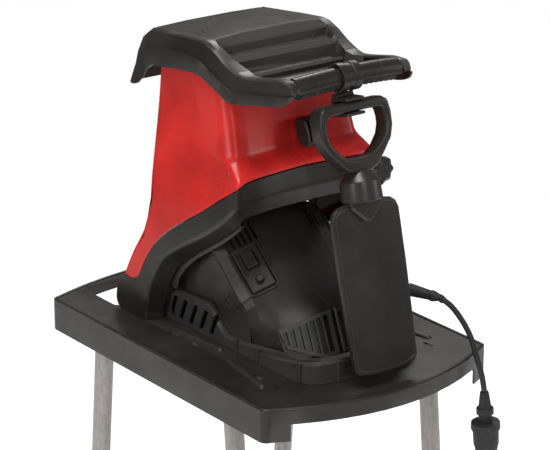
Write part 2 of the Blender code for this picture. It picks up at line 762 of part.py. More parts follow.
def housing_rows():
    """The housing's outer skin: the round cover over the motor, then the nose with its steep front."""
    rows = []
    for along in (-96.0, -60.0, -25.0, 5.0, 24.0):
        half = []
        for x in HOUSING_COLUMNS:
            edge_drop = 3.0 if x == HOUSING_COLUMNS[0] else 0.0
            half.append(tilted(x, along, drum_height(x) - edge_drop))
        rows.append(mirrored(half))
    rows.append(mirrored([*NOSE_SIDE_TOP, *between(FACE_TOP_CORNER, RIDGE_TOP, 4)]))
    rows.append(mirrored([*NOSE_SIDE_FOOT, *between(FACE_FOOT_CORNER, RIDGE_FOOT, 4)]))
    return rows


def motor_housing(look):
    rows = housing_rows()
    inner = offset_inwards(rows, WALL, (0.0, -20.0, 20.0))
    inner[-1] = [(x, y, rows[-1][k][2]) for k, (x, y, _) in enumerate(inner[-1])]
    made = double_skin("motor_housing", rows, inner, look)
    slots = []
    half_slot = 1.8
    for side in (-1, 1):
        for k in range(6):
            x = side * (81.0 - 7.2 * k)
            slots.append([
                [
                    tilted(x - half_slot, -86.0, lift), tilted(x + half_slot, -86.0, lift),
                    tilted(x + half_slot, -57.0, lift), tilted(x - half_slot, -57.0, lift),
                ]
                for lift in (95.0, 150.0)
            ])
    return cut(made, slots)


# The grille's outline on the face of the nose, as (x, z) pairs
GRILLE = ((-68.5, 41.0), (-2.5, 62.6), (-2.5, 9.5), (-22.5, 4.5), (-63.8, 19.0))


def face_point(side, x, z, lift):
    """A point at a lift off the nose's flat face, on the left (-1) or the right (1)."""
    ridge_top, ridge_foot, corner = Vector(RIDGE_TOP), Vector(RIDGE_FOOT), Vector(FACE_TOP_CORNER)
    normal = (ridge_foot - ridge_top).cross(corner - ridge_top).normalized()
    if normal.y > 0:
        normal = -normal
    flat = Vector((x, 0.0, z))
    flat.y = (normal.dot(ridge_top) - normal.x * x - normal.z * z) / normal.y
    flat += normal * lift
    return (-side * flat.x, flat.y, flat.z)


def vent_frame(look):
    """A light grille on each flat face of the nose. Its upright slots grow longer towards the ridge."""
    top, foot = GRILLE[:2], (GRILLE[4], GRILLE[3], GRILLE[2])
    for side, where in ((-1, "left"), (1, "right")):
        loops = [[face_point(side, x, z, lift) for x, z in GRILLE] for lift in (0.8, 4.4)]
        made = loft("vent_frame_" + where, loops, look)
        slots = []
        for k in range(7):
            x = -62.5 + 8.7 * k
            high, low = graph(top, x) - 4.2, graph(foot, x) + 4.2
            corners = ((x - 2.9, high - 0.9), (x + 2.9, high + 0.9), (x + 2.9, low), (x - 2.9, low))
            slots.append([[face_point(side, px, pz, lift) for px, pz in corners] for lift in (-1.5, 8.0)])
        cut(made, slots)


def side_panels(look):
    """The upright cheeks under both edges of the motor housing that close it towards the sides."""
    outline = (
        (100.0, GAP), (98.0, 40.0), (84.0, 72.0), (62.0, 98.0), (30.0, 124.0), (1.6, 144.5),
        (-84.0, 66.0),
        (-84.0, GAP),
    )
    for side, where in ((-1, "left"), (1, "right")):
        prism("side_panel_" + where, outline, "yz", *sorted((side * 82.5, side * 84.5)), look)


SHROUD_PLAN = (
    (-94.0, 104.0), (-94.0, 65.0), (-94.0, 30.0), (-94.0, 0.0), (-94.0, -14.0), (-94.0, -27.0),
    (-94.0, -38.0),
    (-94.0, -80.0), (-94.0, -148.0), (-93.0, -190.0), (-87.0, -206.0), (-74.0, -215.0),
    (-43.0, -223.0), (0.0, -228.0),
)
SHROUD_TOP = (
    (104, 32), (65, 45), (0, 48), (-14, 39), (-27, 24), (-38, 16), (-80, 16), (-148, 22), (-190, 27),
    (-206, 29), (-228, 30),
)


def lower_shroud(look):
    """The low wall round the motor on the base plate, with its ledge and the slanted bars on both sides."""
    def row(outward, lift):
        half = []
        for x, y in SHROUD_PLAN:
            top = graph(SHROUD_TOP, y)
            centre = Vector((0.0, min(max(y, -150.0), 104.0), 0.0))
            away = (Vector((x, y, 0.0)) - centre).normalized()
            reach = max(outward, -8.5) if y > -140.0 else outward
            half.append((x + away.x * reach, y + away.y * reach, GAP if lift is None else top + lift))
        return mirrored(half)

    outer = [row(0.0, None), row(-1.0, -4.0), row(-4.0, 0.0), row(-17.0, 0.5)]
    inner = [row(-WALL, None), row(-WALL - 1.0, -6.0), row(-WALL - 3.5, -WALL), row(-17.0, 0.5 - WALL)]
    made = double_skin("lower_shroud", outer, inner, look)
    slots = []
    for side in (-1, 1):
        for k in range(5):
            y = 88.0 - 23.0 * k
            outline = ((y, 7.0), (y - 9.0, 7.0), (y - 21.0, 36.0), (y - 12.0, 36.0))
            slots.append(prism_loops(outline, "yz", *sorted((side * 86.0, side * 100.0))))
    return cut(made, slots)


def controls(black):
    """The switch plate on the left of the housing, with its rocker and the overload reset button."""
    x = -66.0
    slope = math.asin(-x / DRUM_RADIUS)
    across = (-math.cos(slope), math.sin(slope))
    normal = (-math.sin(slope), math.cos(slope))

    def on_plate(sideways, along, lift):
        height = drum_height(x)
        return tilted(
            x + across[0] * sideways + normal[0] * lift,
            along,
            height - across[1] * sideways + normal[1] * lift,
        )

    def slab(sideways, along, lift, taper=0.0):
        loops = []
        for level, inset in ((lift[0], 0.0), (lift[1], taper)):
            loops.append([
                on_plate(sideways[0] + inset, along[0] + inset, level),
                on_plate(sideways[1] - inset, along[0] + inset, level),
                on_plate(sideways[1] - inset, along[1] - inset, level),
                on_plate(sideways[0] + inset, along[1] - inset, level),
            ])
        return loops

    plate = loft("switch_plate", slab((-17.0, 17.0), (-52.0, 10.0), (0.8, 3.6), 1.2), black)
    button = on_plate(0.0, -4.0, 3.0)
    lift_direction = Vector(tilted(normal[0], 0.0, normal[1]))
    well_ends = [along_axis(button, lift_direction, step) for step in (-4.0, 4.0)]
    well = [circle(end, lift_direction, 5.6, 16) for end in well_ends]
    cut(plate, [slab((-9.0, 9.0), (-47.4, -20.6), (-1.0, 9.0)), well])
    hub = on_plate(0.0, -34.0, 4.0)
    loft("power_switch", slab((-8.0, 8.0), (-46.0, -22.0), (2.4, 8.0), 1.0), black, hub)
    cap = ((0.0, 5.0), (6.0, 5.0), (7.2, 3.8))
    turned("reset_button", cap, button, lift_direction, black, 16, origin=button)


def cable_inlet(black, rubber):
    """The terminal box at the front right and the bending sleeve of the cord."""
    outline = ((44.0, -150.0), (84.0, -146.0), (90.0, -176.0), (78.0, -196.0), (50.0, -198.0))
    loops = [[(x, y, z) for x, y in outline] for z in (32.0, 96.0)]
    middle = Vector((68.0, -172.0, 0.0))
    loops.append([(x + (middle.x - x) * 0.2, y + (middle.y - y) * 0.2, 104.0) for x, y in outline])
    loft("terminal_box", loops, black)
    direction = Vector(CORD_ROUTE[0]) - Vector((84.0, -192.5, 86.0))
    base = along_axis((84.0, -192.5, 86.0), direction, 3.0)
    length = (Vector(CORD_ROUTE[0]) - Vector(base)).length - 2.2
    sleeve = (
        (0.0, 8.5), (6.0, 8.2), (length * 0.72, 6.4), (length * 0.74, 7.2), (length * 0.84, 7.2),
        (length, 5.2),
    )
    turned("cord_sleeve", sleeve, base, direction, rubber, 16)


# ---------------------------------------------------------------- motor and cutting gear


def axis_piece(name, profile, look, steps=24, bored=False, turning=False):
    """A turned piece on the motor's axis, its profile measured along that axis."""
    base = tilted(0.0, 0.0, AXIS_LIFT)
    axis = Vector(tilted(0.0, 1.0, AXIS_LIFT)) - Vector(base)
    origin = tilted(0.0, DISC_STATION, AXIS_LIFT) if turning else None
    return turned(name, profile, base, axis, look, steps, bored, origin)


def motor(steel, copper, black, plate):
    shaft = 6.0
    seat = shaft + GAP
    bore = 30.0
    windings = ((-92.0, bore), (-92.0, STATOR_RADIUS), (8.0, STATOR_RADIUS), (8.0, bore))
    axis_piece("motor_stator", windings, copper, 28, True)
    axis_piece("rotor", (
        (DISC_STATION - 10.0, shaft), (-88.0, shaft), (-87.9, 28.0), (2.0, 28.0), (2.1, shaft),
        (38.0, shaft),
    ), steel, 24, turning=True)
    bearings = (("bearing_upper", -104.0, -95.0, 15.0), ("bearing_lower", 11.0, 19.0, 13.0))
    for name, low, high, radius in bearings:
        axis_piece(name, ((low, seat), (low, radius), (high, radius), (high, seat)), plate, 20, True)
    fan = ((22.0, seat), (22.0, 34.0), (25.0, 36.0), (33.0, 12.0), (33.0, seat))
    axis_piece("cooling_fan", fan, black, 24, True, True)


def cutting_gear(steel, cast, hard):
    shaft = 6.0
    low = DISC_STATION
    seat = shaft + GAP
    flange = (
        (low + 16.0, 17.0), (low + 16.0, 74.0), (low + 12.0, 76.0), (low - 16.0, 76.0),
        (low - 16.0, 72.5),
        (low + 9.0, 72.5), (low + 9.0, 17.0),
    )
    axis_piece("cutting_chamber", flange, cast, 36, True)
    disc = ((low - 4.0, seat), (low - 4.0, DISC_RADIUS), (low + 4.0, DISC_RADIUS), (low + 4.0, seat))
    axis_piece("blade_disc", disc, steel, 36, True, True)
    centre = tilted(0.0, DISC_STATION, AXIS_LIFT)
    for side, where in ((-1, "left"), (1, "right")):
        def corner(across, x, lift, flip=side):
            return tilted(flip * x, low - lift, AXIS_LIFT + flip * across)
        loops = []
        for lift, edge in ((4.4, 0.0), (8.0, 3.0)):
            loops.append([
                corner(-9.0 + edge, 20.0, lift), corner(-9.0 + edge, 65.0, lift),
                corner(9.0, 65.0, lift), corner(9.0, 20.0, lift),
            ])
        loft("knife_" + where, loops, hard, centre)
    # The feed plate closes the chamber towards the chute. It stays with the hopper.
    plate_low = low - 17.0
    faces = [tilted(0.0, plate_low - step, AXIS_LIFT) for step in (0.0, 4.0)]
    feed_plate = loft("feed_plate", [circle(face, tilted(0, 1, 0), 72.0, 36) for face in faces], cast)
    window = ((-38.0, 64.0), (38.0, 64.0), (38.0, 120.0), (-38.0, 120.0))
    cut(feed_plate, [[[tilted(x, along, across) for x, across in window] for along in (low - 40.0, low)]])
    edge = ((-34.0, 50.0), (34.0, 50.0), (34.0, 60.0), (-34.0, 60.0))
    blade = [[tilted(x, along, across) for x, across in edge] for along in (low - 16.4, low - 9.5)]
    loft("counter_blade", blade, hard)


# ---------------------------------------------------------------- tamper, knob and plug


def tamper(black):
    outer = (
        (0, 0), (44, 0.5), (53, 6), (56, 20), (56, 38), (51, 54), (38, 70), (25, 84), (12, 90), (0, 90.5),
        (-12, 90), (-25, 84), (-38, 70), (-51, 54), (-56, 38), (-56, 20), (-53, 6), (-44, 0.5),
    )
    inner = (
        (0, 13), (38, 13.3), (44, 17), (46, 25), (46, 36), (42, 48), (31, 61), (19, 69), (8, 71),
        (0, 71.3),
        (-8, 71), (-19, 69), (-31, 61), (-42, 48), (-46, 36), (-46, 25), (-44, 17), (-38, 13.3),
    )
    rows = []
    depth, soft = 13.0, 3.0
    for outline, forward, grow in (
        (outer, -depth, -soft), (outer, -depth + soft, 0.0), (outer, depth - soft, 0.0),
        (outer, depth, -soft),
        (inner, depth, soft * 0.8), (inner, depth - soft, 0.0), (inner, -depth + soft, 0.0),
        (inner, -depth, soft * 0.8),
    ):
        middle = Vector((0.0, 42.0))
        row = []
        for x, down in outline:
            away = Vector((x, down)) - middle
            away.normalize()
            row.append(tamper_point(x + away.x * grow, down + away.y * grow, forward))
        rows.append(row)
    grid_ring("tamper_handle", rows, black)
    base = tamper_point(0.0, 0.0, 0.0)
    axis = Vector(tamper_point(0.0, 1.0, 0.0)) - Vector(base)
    neck = ((91.0, 14.0), (93.0, 20.0), (97.0, 25.0), (100.0, 25.8), (124.0, 26.5), (125.6, 25.5))
    turned("tamper_neck", neck, base, axis, black, 28)
    half = (
        (0, 126), (28, 126), (42, 128.5), (49.5, 134), (53, 143), (53, 212), (51.2, 300), (49.5, 333),
        (45.5, 339.5), (30, 343.4), (0, 345),
    )
    outline = list(half) + [(-x, down) for x, down in reversed(half[1:-1])]
    loops = []
    for forward, grow in ((-4.5, -1.5), (-3.0, 0.0), (3.0, 0.0), (4.5, -1.5)):
        middle = Vector((0.0, 235.0))
        loop = []
        for x, down in outline:
            toward_x = math.copysign(min(abs(x), 1.0), x) * grow
            toward_down = math.copysign(min(abs(down - middle.y) / 60.0, 1.0), down - middle.y) * grow
            loop.append(tamper_point(x + toward_x, down + toward_down, forward))
        loops.append(loop)
    loft("tamper_paddle", loops, black)


def locking_knob(black, steel):
    """The star knob at the front right that locks the hopper shut, and its screw."""
    centre = (102.0, -105.5, 222.0)
    loops = []
    for distance, size in ((0.0, 15.0), (3.0, 19.0), (13.0, 18.0), (17.0, 12.0)):
        loop = []
        for step in range(32):
            turn = 2 * math.pi * step / 32
            radius = size + 1.5 * math.cos(8 * turn)
            x, z = radius * math.cos(turn), radius * math.sin(turn)
            loop.append((centre[0] + x, centre[1] - distance, centre[2] + z))
        loops.append(loop)
    loft("locking_knob", loops, black, centre)
    start = (centre[0], centre[1] + GAP, centre[2])
    turned("locking_screw", ((0.0, 4.0), (4.2, 4.0)), start, (0, 1, 0), steel, 16, origin=centre)


def cord_and_plug(rubber):
    points = smooth_path(CORD_ROUTE, 2)
    curve = bpy.data.curves.new("cord", "CURVE")
    curve.dimensions = "3D"
    curve.bevel_depth = CORD_DIAMETER / 2 * MM
    curve.bevel_resolution = 3
    curve.use_fill_caps = True
    line = curve.splines.new("POLY")
    line.points.add(len(points) - 1)
    for point, spot in zip(line.points, points):
        point.co = (*place(*spot), 1.0)
    curve.materials.append(rubber)
    made = bpy.data.objects.new("cord", curve)
    bpy.context.scene.collection.objects.link(made)
    top = along_axis(CORD_ROUTE[-1], PLUG_AXIS, 0.9)
    body = (
        (0.0, 5.4), (2.0, 6.0), (22.0, 8.6), (23.0, 11.4), (31.0, 11.4), (32.0, 8.6), (42.0, 9.0),
        (43.0, 19.0), (52.0, 19.4), (54.0, 17.2), (74.0, 16.6), (77.0, 15.5), (84.0, 14.5),
    )
    turned("mains_plug", body, top, PLUG_AXIS, rubber, 20)


def main():
    for old in list(bpy.data.objects):
        bpy.data.objects.remove(old, do_unlink=True)
    black = material("black_plastic", (0.028, 0.026, 0.024), 0.42)
    red = material("red_plastic", (0.52, 0.03, 0.022), 0.38)
    soft = material("soft_grip", (0.02, 0.02, 0.02), 0.75)
    grey = material("vent_grey", (0.1, 0.097, 0.092), 0.5)
    steel = material("leg_steel", (0.43, 0.4, 0.37), 0.35, 0.9)
    chrome = material("zinc", (0.6, 0.6, 0.6), 0.3, 1.0)
    cast = material("cast_metal", (0.3, 0.3, 0.31), 0.55, 0.9)
    hard = material("hardened_steel", (0.5, 0.5, 0.52), 0.25, 1.0)
    copper = material("winding", (0.35, 0.16, 0.08), 0.45, 0.6)
    rubber = material("rubber", (0.015, 0.015, 0.015), 0.6)
    base_plate(black)
    stand(black, steel, rubber, chrome)
    hood(black)
    carrying_bar(black, soft)
    tamper_clip(black)
    hook_bracket(black)
    hopper_shell(red)
    arch_trim(black)
    feed_chute(black)
    hinge(black, chrome)
    motor_housing(black)
    vent_frame(grey)
    side_panels(black)
    lower_shroud(black)
    controls(black)
    cable_inlet(black, rubber)
    motor(steel, copper, black, chrome)
    cutting_gear(hard, cast, chrome)
    tamper(black)
    locking_knob(black, chrome)
    cord_and_plug(rubber)


main()
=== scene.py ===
"""Looks of the electric garden shredder: materials, fine detail and the cord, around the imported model."""
import json
import math

import bmesh
import bpy
import numpy as np
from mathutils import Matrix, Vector


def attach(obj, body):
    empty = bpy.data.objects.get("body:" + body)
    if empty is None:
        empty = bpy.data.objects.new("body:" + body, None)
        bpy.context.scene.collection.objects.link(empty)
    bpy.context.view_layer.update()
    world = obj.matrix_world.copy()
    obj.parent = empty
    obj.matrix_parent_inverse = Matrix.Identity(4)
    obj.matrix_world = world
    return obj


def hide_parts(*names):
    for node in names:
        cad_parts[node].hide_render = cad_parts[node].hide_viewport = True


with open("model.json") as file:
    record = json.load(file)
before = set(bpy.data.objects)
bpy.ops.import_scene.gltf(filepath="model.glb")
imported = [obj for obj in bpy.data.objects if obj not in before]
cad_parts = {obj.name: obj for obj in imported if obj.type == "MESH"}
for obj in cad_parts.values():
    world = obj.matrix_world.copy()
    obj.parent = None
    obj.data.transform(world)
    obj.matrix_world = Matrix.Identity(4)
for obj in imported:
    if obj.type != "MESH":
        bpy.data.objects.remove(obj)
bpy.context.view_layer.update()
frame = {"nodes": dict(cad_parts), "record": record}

# The design frame, as in the part's own source: millimetres, z up from the top of the base plate
MM = 0.001
PLATE_TOP = 523.0
MIDDLE_SHIFT = 9.5

AXIS_TILT = math.radians(41.0)
DRUM_RADIUS = 144.0
DRUM_CREST = 142.0
TAMPER_TOP_Y = -174.5
TAMPER_TOP_Z = 348.4
TAMPER_TILT = math.radians(13.8)
WALL = 3.0
GAP = 0.4


def place(x, y, z):
    """A point of the design frame in the world frame, in metres."""
    return Vector((x, y + MIDDLE_SHIFT, z + PLATE_TOP)) * MM


def tilted(x, along, across):
    """A point given along the motor's axis (down and forward) and across it (up and forward)."""
    down = math.sin(AXIS_TILT)
    level = math.cos(AXIS_TILT)
    return (x, -level * along - down * across, -down * along + level * across)


def drum_point(x, along, lift=0.0):
    """A point at a lift off the round top of the motor's cover."""
    turn = math.asin(x / DRUM_RADIUS)
    radius = DRUM_RADIUS + lift
    return tilted(radius * math.sin(turn), along, DRUM_CREST - DRUM_RADIUS + radius * math.cos(turn))


def tamper_point(x, down, forward):
    """A point of the hanging tamper, measured down its length and forward of its middle plane."""
    lean = math.sin(TAMPER_TILT)
    upright = math.cos(TAMPER_TILT)
    y = TAMPER_TOP_Y - lean * down - upright * forward
    return (x, y, TAMPER_TOP_Z - upright * down + lean * forward)


def graph(pairs, position):
    """The height of a broken line, given as (position, height) pairs in any order."""
    ordered = sorted(pairs)
    return float(np.interp(position, [p[0] for p in ordered], [p[1] for p in ordered]))


def soft_graph(pairs, position, reach=14.0):
    """The broken line with its corners rounded over a reach to both sides."""
    steps = [reach * k / 4 for k in range(-4, 5)]
    return sum(graph(pairs, position + step) for step in steps) / len(steps)


def ease(value):
    """Zero below 0, one above 1, and a smooth rise between."""
    value = min(1.0, max(0.0, value))
    return value * value * (3.0 - 2.0 * value)


def mirrored(half):
    """A row of points from the left side to the middle, completed with its right half."""
    return list(half) + [(-x, y, z) for x, y, z in reversed(half[:-1])]


def smooth_path(points, parts):
    """A Catmull-Rom curve through the points, each span divided into the given number of parts."""
    given = [np.array(point, float) for point in points]
    result = []
    for span in range(len(given) - 1):
        before = given[max(span - 1, 0)]
        start, end = given[span], given[span + 1]
        after = given[min(span + 2, len(given) - 1)]
        for part in range(parts):
            t = part / parts
            pull = (end - before) * 0.5
            push = (after - start) * 0.5
            result.append(
                start * (2 * t**3 - 3 * t**2 + 1) + end * (3 * t**2 - 2 * t**3)
                + pull * (t**3 - 2 * t**2 + t) + push * (t**3 - t**2)
            )
    result.append(given[-1])
    return [tuple(point) for point in result]


# ---------------------------------------------------------------- camera, floor and light

CAMERA_AZIMUTH = math.radians(-37.0)
CAMERA_ELEVATION = math.radians(19.58)
CAMERA_DISTANCE = 3.41775
CAMERA_TARGET = place(25.5, 9.95, 127.7)
CAMERA_FOCAL = 168.8
# The sky as the camera sees it, and as it lights the object
SKY_SEEN = 1.0
SKY_LIGHT = 0.17
FLOOR_GLOW = 0.5
FLOOR_REACH = 1.7


def add_camera():
    data = bpy.data.cameras.new("camera")
    data.lens = CAMERA_FOCAL
    data.sensor_width = 36.0
    made = bpy.data.objects.new("camera", data)
    back = Vector((
        math.sin(CAMERA_AZIMUTH) * math.cos(CAMERA_ELEVATION),
        -math.cos(CAMERA_AZIMUTH) * math.cos(CAMERA_ELEVATION),
        math.sin(CAMERA_ELEVATION),
    ))
    made.location = CAMERA_TARGET + back * CAMERA_DISTANCE
    made.rotation_euler = back.to_track_quat("Z", "Y").to_euler()
    bpy.context.scene.collection.objects.link(made)
    bpy.context.scene.camera = made


def area_light(name, spot, size, energy, target=(0.0, 0.0, 0.7)):
    data = bpy.data.lights.new(name, "AREA")
    data.shape = "RECTANGLE"
    data.size, data.size_y = size
    data.energy = energy
    made = bpy.data.objects.new(name, data)
    made.location = spot
    made.rotation_euler = (Vector(spot) - Vector(target)).to_track_quat("Z", "Y").to_euler()
    bpy.context.scene.collection.objects.link(made)


def add_floor():
    """A pale floor with a glow of its own, so that it stays as white as the sky behind it."""
    mesh = bpy.data.meshes.new("studio_floor")
    corners = [(x * FLOOR_REACH, y * FLOOR_REACH, 0) for x, y in ((-1, -1), (1, -1), (1, 1), (-1, 1))]
    mesh.from_pydata(corners, [], [(0, 1, 2, 3)])
    floor = bpy.data.objects.new("studio_floor", mesh)
    bpy.context.scene.collection.objects.link(floor)
    look = bpy.data.materials.new("studio_floor")
    look.use_nodes = True
    shader = look.node_tree.nodes["Principled BSDF"]
    shader.inputs["Base Color"].default_value = (0.9, 0.9, 0.9, 1.0)
    shader.inputs["Roughness"].default_value = 0.9
    shader.inputs["Emission Color"].default_value = (1.0, 1.0, 1.0, 1.0)
    shader.inputs["Emission Strength"].default_value = FLOOR_GLOW
    mesh.materials.append(look)


def add_sky():
    """A white sky that lights the object far less than it shows."""
    world = bpy.data.worlds.new("studio")
    world.use_nodes = True
    tree = world.node_tree
    seen = tree.nodes["Background"]
    seen.inputs["Color"].default_value = (1.0, 1.0, 1.0, 1.0)
    seen.inputs["Strength"].default_value = SKY_SEEN
    dim = tree.nodes.new("ShaderNodeBackground")
    dim.inputs["Color"].default_value = (1.0, 1.0, 1.0, 1.0)
    dim.inputs["Strength"].default_value = SKY_LIGHT
    path = tree.nodes.new("ShaderNodeLightPath")
    mix = tree.nodes.new("ShaderNodeMixShader")
    tree.links.new(path.outputs["Is Camera Ray"], mix.inputs[0])
    tree.links.new(dim.outputs[0], mix.inputs[1])
    tree.links.new(seen.outputs[0], mix.inputs[2])
    tree.links.new(mix.outputs[0], tree.nodes["World Output"].inputs["Surface"])
    bpy.context.scene.world = world


def add_studio():
    """The floor, the sky and large soft lights: above, in front, on both sides and behind."""
    add_floor()
    add_sky()
    area_light("light_top", (-0.5, -0.2, 3.2), (1.3, 0.9), 54.0)
    area_light("light_front", (-0.9, -3.0, 2.2), (0.8, 1.2), 26.0)
    area_light("light_left", (-3.0, -0.6, 1.6), (0.5, 1.6), 30.0)
    area_light("light_right", (2.4, -1.8, 1.4), (0.5, 1.4), 16.0)
    area_light("light_back", (1.7, 1.85, 2.7), (0.9, 0.6), 20.0)
    bpy.context.scene.view_settings.view_transform = "Standard"


# ---------------------------------------------------------------- materials


class Nodes:
    """A short way to build a node tree."""

    def __init__(self, look):
        look.use_nodes = True
        self.tree = look.node_tree
        self.shader = self.tree.nodes["Principled BSDF"]
        self.coordinates = self.tree.nodes.new("ShaderNodeTexCoord").outputs["Object"]

    def add(self, kind, inputs=None, **settings):
        node = self.tree.nodes.new(kind)
        for key, value in settings.items():
            setattr(node, key, value)
        for key, value in (inputs or {}).items():
            if hasattr(value, "links"):
                self.tree.links.new(value, node.inputs[key])
            else:
                node.inputs[key].default_value = value
        return node

    def noise(self, scale, detail=3.0, stretch=None):
        vector = self.coordinates
        if stretch:
            vector = self.add("ShaderNodeMapping", {"Vector": vector, "Scale": stretch}).outputs["Vector"]
        inputs = {"Vector": vector, "Scale": scale, "Detail": detail}
        return self.add("ShaderNodeTexNoise", inputs).outputs["Fac"]

    def spread(self, value, low, high, start=0.35, end=0.65):
        made = self.add("ShaderNodeMapRange", {
            "Value": value, "From Min": start, "From Max": end, "To Min": low, "To Max": high,
        })
        return made.outputs["Result"]

    def blend(self, factor, first, second):
        made = self.add("ShaderNodeMix", data_type="RGBA")
        self.tree.links.new(factor, made.inputs["Factor"])
        for slot, value in ((6, first), (7, second)):
            if hasattr(value, "links"):
                self.tree.links.new(value, made.inputs[slot])
            else:
                made.inputs[slot].default_value = (*value, 1.0)
        return made.outputs[2]

    def set(self, name, value):
        if hasattr(value, "links"):
            self.tree.links.new(value, self.shader.inputs[name])
        else:
            self.shader.inputs[name].default_value = value


def moulded(
    name, colour, roughness, grain=0.25, grain_scale=1400.0, sheen_shift=0.06, wear=0.5, shine=0.35,
):
    """Injection-moulded plastic: a fine spark-eroded grain, cloudy gloss and rubbed lighter edges."""
    look = bpy.data.materials.new(name)
    nodes = Nodes(look)
    cloud = nodes.noise(9.0, 4.0)
    lighter = tuple(min(1.0, c * 1.35 + 0.004) for c in colour)
    darker = tuple(c * 0.85 for c in colour)
    base = nodes.blend(nodes.spread(cloud, 0.0, 1.0), darker, lighter)
    edge = nodes.add("ShaderNodeNewGeometry").outputs["Pointiness"]
    worn = nodes.spread(edge, 0.0, wear, 0.53, 0.62)
    rubbed = tuple(min(1.0, c * 1.6 + 0.05) for c in colour)
    nodes.set("Base Color", nodes.blend(worn, base, rubbed))
    smear = nodes.noise(38.0, 5.0)
    duller, shinier = roughness + sheen_shift, roughness - sheen_shift
    nodes.set("Roughness", nodes.spread(smear, shinier, duller, 0.3, 0.7))
    fine = nodes.noise(grain_scale, 2.0)
    waves = nodes.noise(22.0, 2.0)
    bump = nodes.add("ShaderNodeBump", {"Strength": grain, "Distance": 0.0004, "Height": fine})
    soft = nodes.add("ShaderNodeBump", {
        "Strength": 0.06, "Distance": 0.004, "Height": waves, "Normal": bump.outputs["Normal"],
    })
    nodes.set("Normal", soft.outputs["Normal"])
    nodes.shader.inputs["Specular IOR Level"].default_value = shine
    return look


def metal(name, colour, roughness, stretch=(1.0, 1.0, 1.0), metallic=1.0, depth=0.15, scale=120.0):
    """Metal or metallic paint with drawn streaks and small dull spots."""
    look = bpy.data.materials.new(name)
    nodes = Nodes(look)
    streak = nodes.noise(scale, 3.0, stretch)
    spots = nodes.noise(260.0, 4.0)
    dull = tuple(c * 0.8 for c in colour)
    nodes.set("Base Color", nodes.blend(nodes.spread(streak, 0.0, 1.0), dull, colour))
    nodes.set("Roughness", nodes.spread(spots, roughness * 0.8, roughness * 1.25, 0.3, 0.7))
    bump = nodes.add("ShaderNodeBump", {"Strength": depth, "Distance": 0.0003, "Height": streak})
    nodes.set("Normal", bump.outputs["Normal"])
    nodes.shader.inputs["Metallic"].default_value = metallic
    return look


def make_materials():
    black = (0.0165, 0.0137, 0.0114)
    return {
        "black_plastic": moulded("black_plastic", black, 0.36, 0.16),
        "red_plastic": moulded("red_plastic", (0.5, 0.017, 0.013), 0.32, 0.1, 1100.0, 0.05, 0.12, 0.3),
        "soft_grip": moulded("soft_grip", (0.014, 0.0135, 0.013), 0.72, 0.5, 700.0),
        "vent_grey": moulded("vent_grey", (0.045, 0.043, 0.04), 0.4, 0.2),
        "rubber": moulded("rubber", (0.013, 0.012, 0.012), 0.55, 0.35, 500.0),
        "tube_steel": metal("tube_steel", (0.34, 0.315, 0.29), 0.38, (1.0, 1.0, 0.2), 0.45, 0.05, 300.0),
        "zinc": metal("zinc", (0.62, 0.62, 0.63), 0.28),
        "cast_metal": metal("cast_metal", (0.3, 0.3, 0.31), 0.6, depth=0.5),
        "hardened_steel": metal("hardened_steel", (0.5, 0.5, 0.52), 0.24, (1.0, 14.0, 1.0)),
        "winding": metal("winding", (0.07, 0.03, 0.018), 0.5, (1.0, 1.0, 20.0), 0.5),
    }


def dress_cad_nodes(looks):
    """Every carried-over node gets its slot's material, welded corners and rounded edges."""
    slots = {part["node"]: part["material_slot"] for part in frame["record"]["subparts"]}
    for name, node in frame["nodes"].items():
        if not node.data.materials:
            node.data.materials.append(None)
        for index in range(len(node.material_slots)):
            node.material_slots[index].material = looks[slots[name]]
        weld = node.modifiers.new("weld", "WELD")
        weld.merge_threshold = 0.00002
        width = EDGE_WIDTH.get(name, USUAL_EDGE_WIDTH)
        if width:
            bevel = node.modifiers.new("edges", "BEVEL")
            bevel.width = width * MM
            bevel.segments = 3
            bevel.limit_method = "ANGLE"
            bevel.angle_limit = math.radians(32)
            bevel.use_clamp_overlap = True
            bevel.harden_normals = True
        smooth_by_angle(node)
        even_normals(node)


def even_normals(node):
    """Shades large faces flat right up to the rounded edges beside them."""
    weighted = node.modifiers.new("normals", "WEIGHTED_NORMAL")
    weighted.keep_sharp = True


def smooth_by_angle(node):
    """Smooth shading that leaves true corners sharp."""
    for polygon in node.data.polygons:
        polygon.use_smooth = True
    node.data.set_sharp_from_angle(angle=math.radians(32))


# How far the edges of a carried-over node are rounded, in millimetres, where it isn't the usual width
EDGE_WIDTH = {
    "hood": 1.6, "hopper_shell": 1.5, "arch_trim": 1.6, "motor_housing": 1.2, "lower_shroud": 1.2,
    "base_plate": 2.4, "tamper_paddle": 1.2, "tamper_handle": 2.0, "cord": 0.0, "wheel_left": 1.5,
    "wheel_right": 1.5,
}
USUAL_EDGE_WIDTH = 0.6


# ---------------------------------------------------------------- building pieces


def piece(name, points, faces, body, slot, replaces=None, edge=0.0):
    """A visible piece from points of the design frame, on a body, with smooth shading and round edges."""
    mesh = bpy.data.meshes.new(name)
    mesh.from_pydata([place(*point) for point in points], [], faces)
    shell = bmesh.new()
    shell.from_mesh(mesh)
    bmesh.ops.remove_doubles(shell, verts=shell.verts, dist=0.00001)
    bmesh.ops.recalc_face_normals(shell, faces=shell.faces)
    shell.to_mesh(mesh)
    shell.free()
    made = bpy.data.objects.new(name, mesh)
    bpy.context.scene.collection.objects.link(made)
    mesh.materials.append(looks[slot])
    if edge:
        bevel = made.modifiers.new("edges", "BEVEL")
        bevel.width = edge * MM
        bevel.segments = 3
        bevel.limit_method = "ANGLE"
        bevel.angle_limit = math.radians(40)
    smooth_by_angle(made)
    if edge:
        even_normals(made)
    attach(made, body)
    if replaces:
        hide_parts(replaces)
    return made


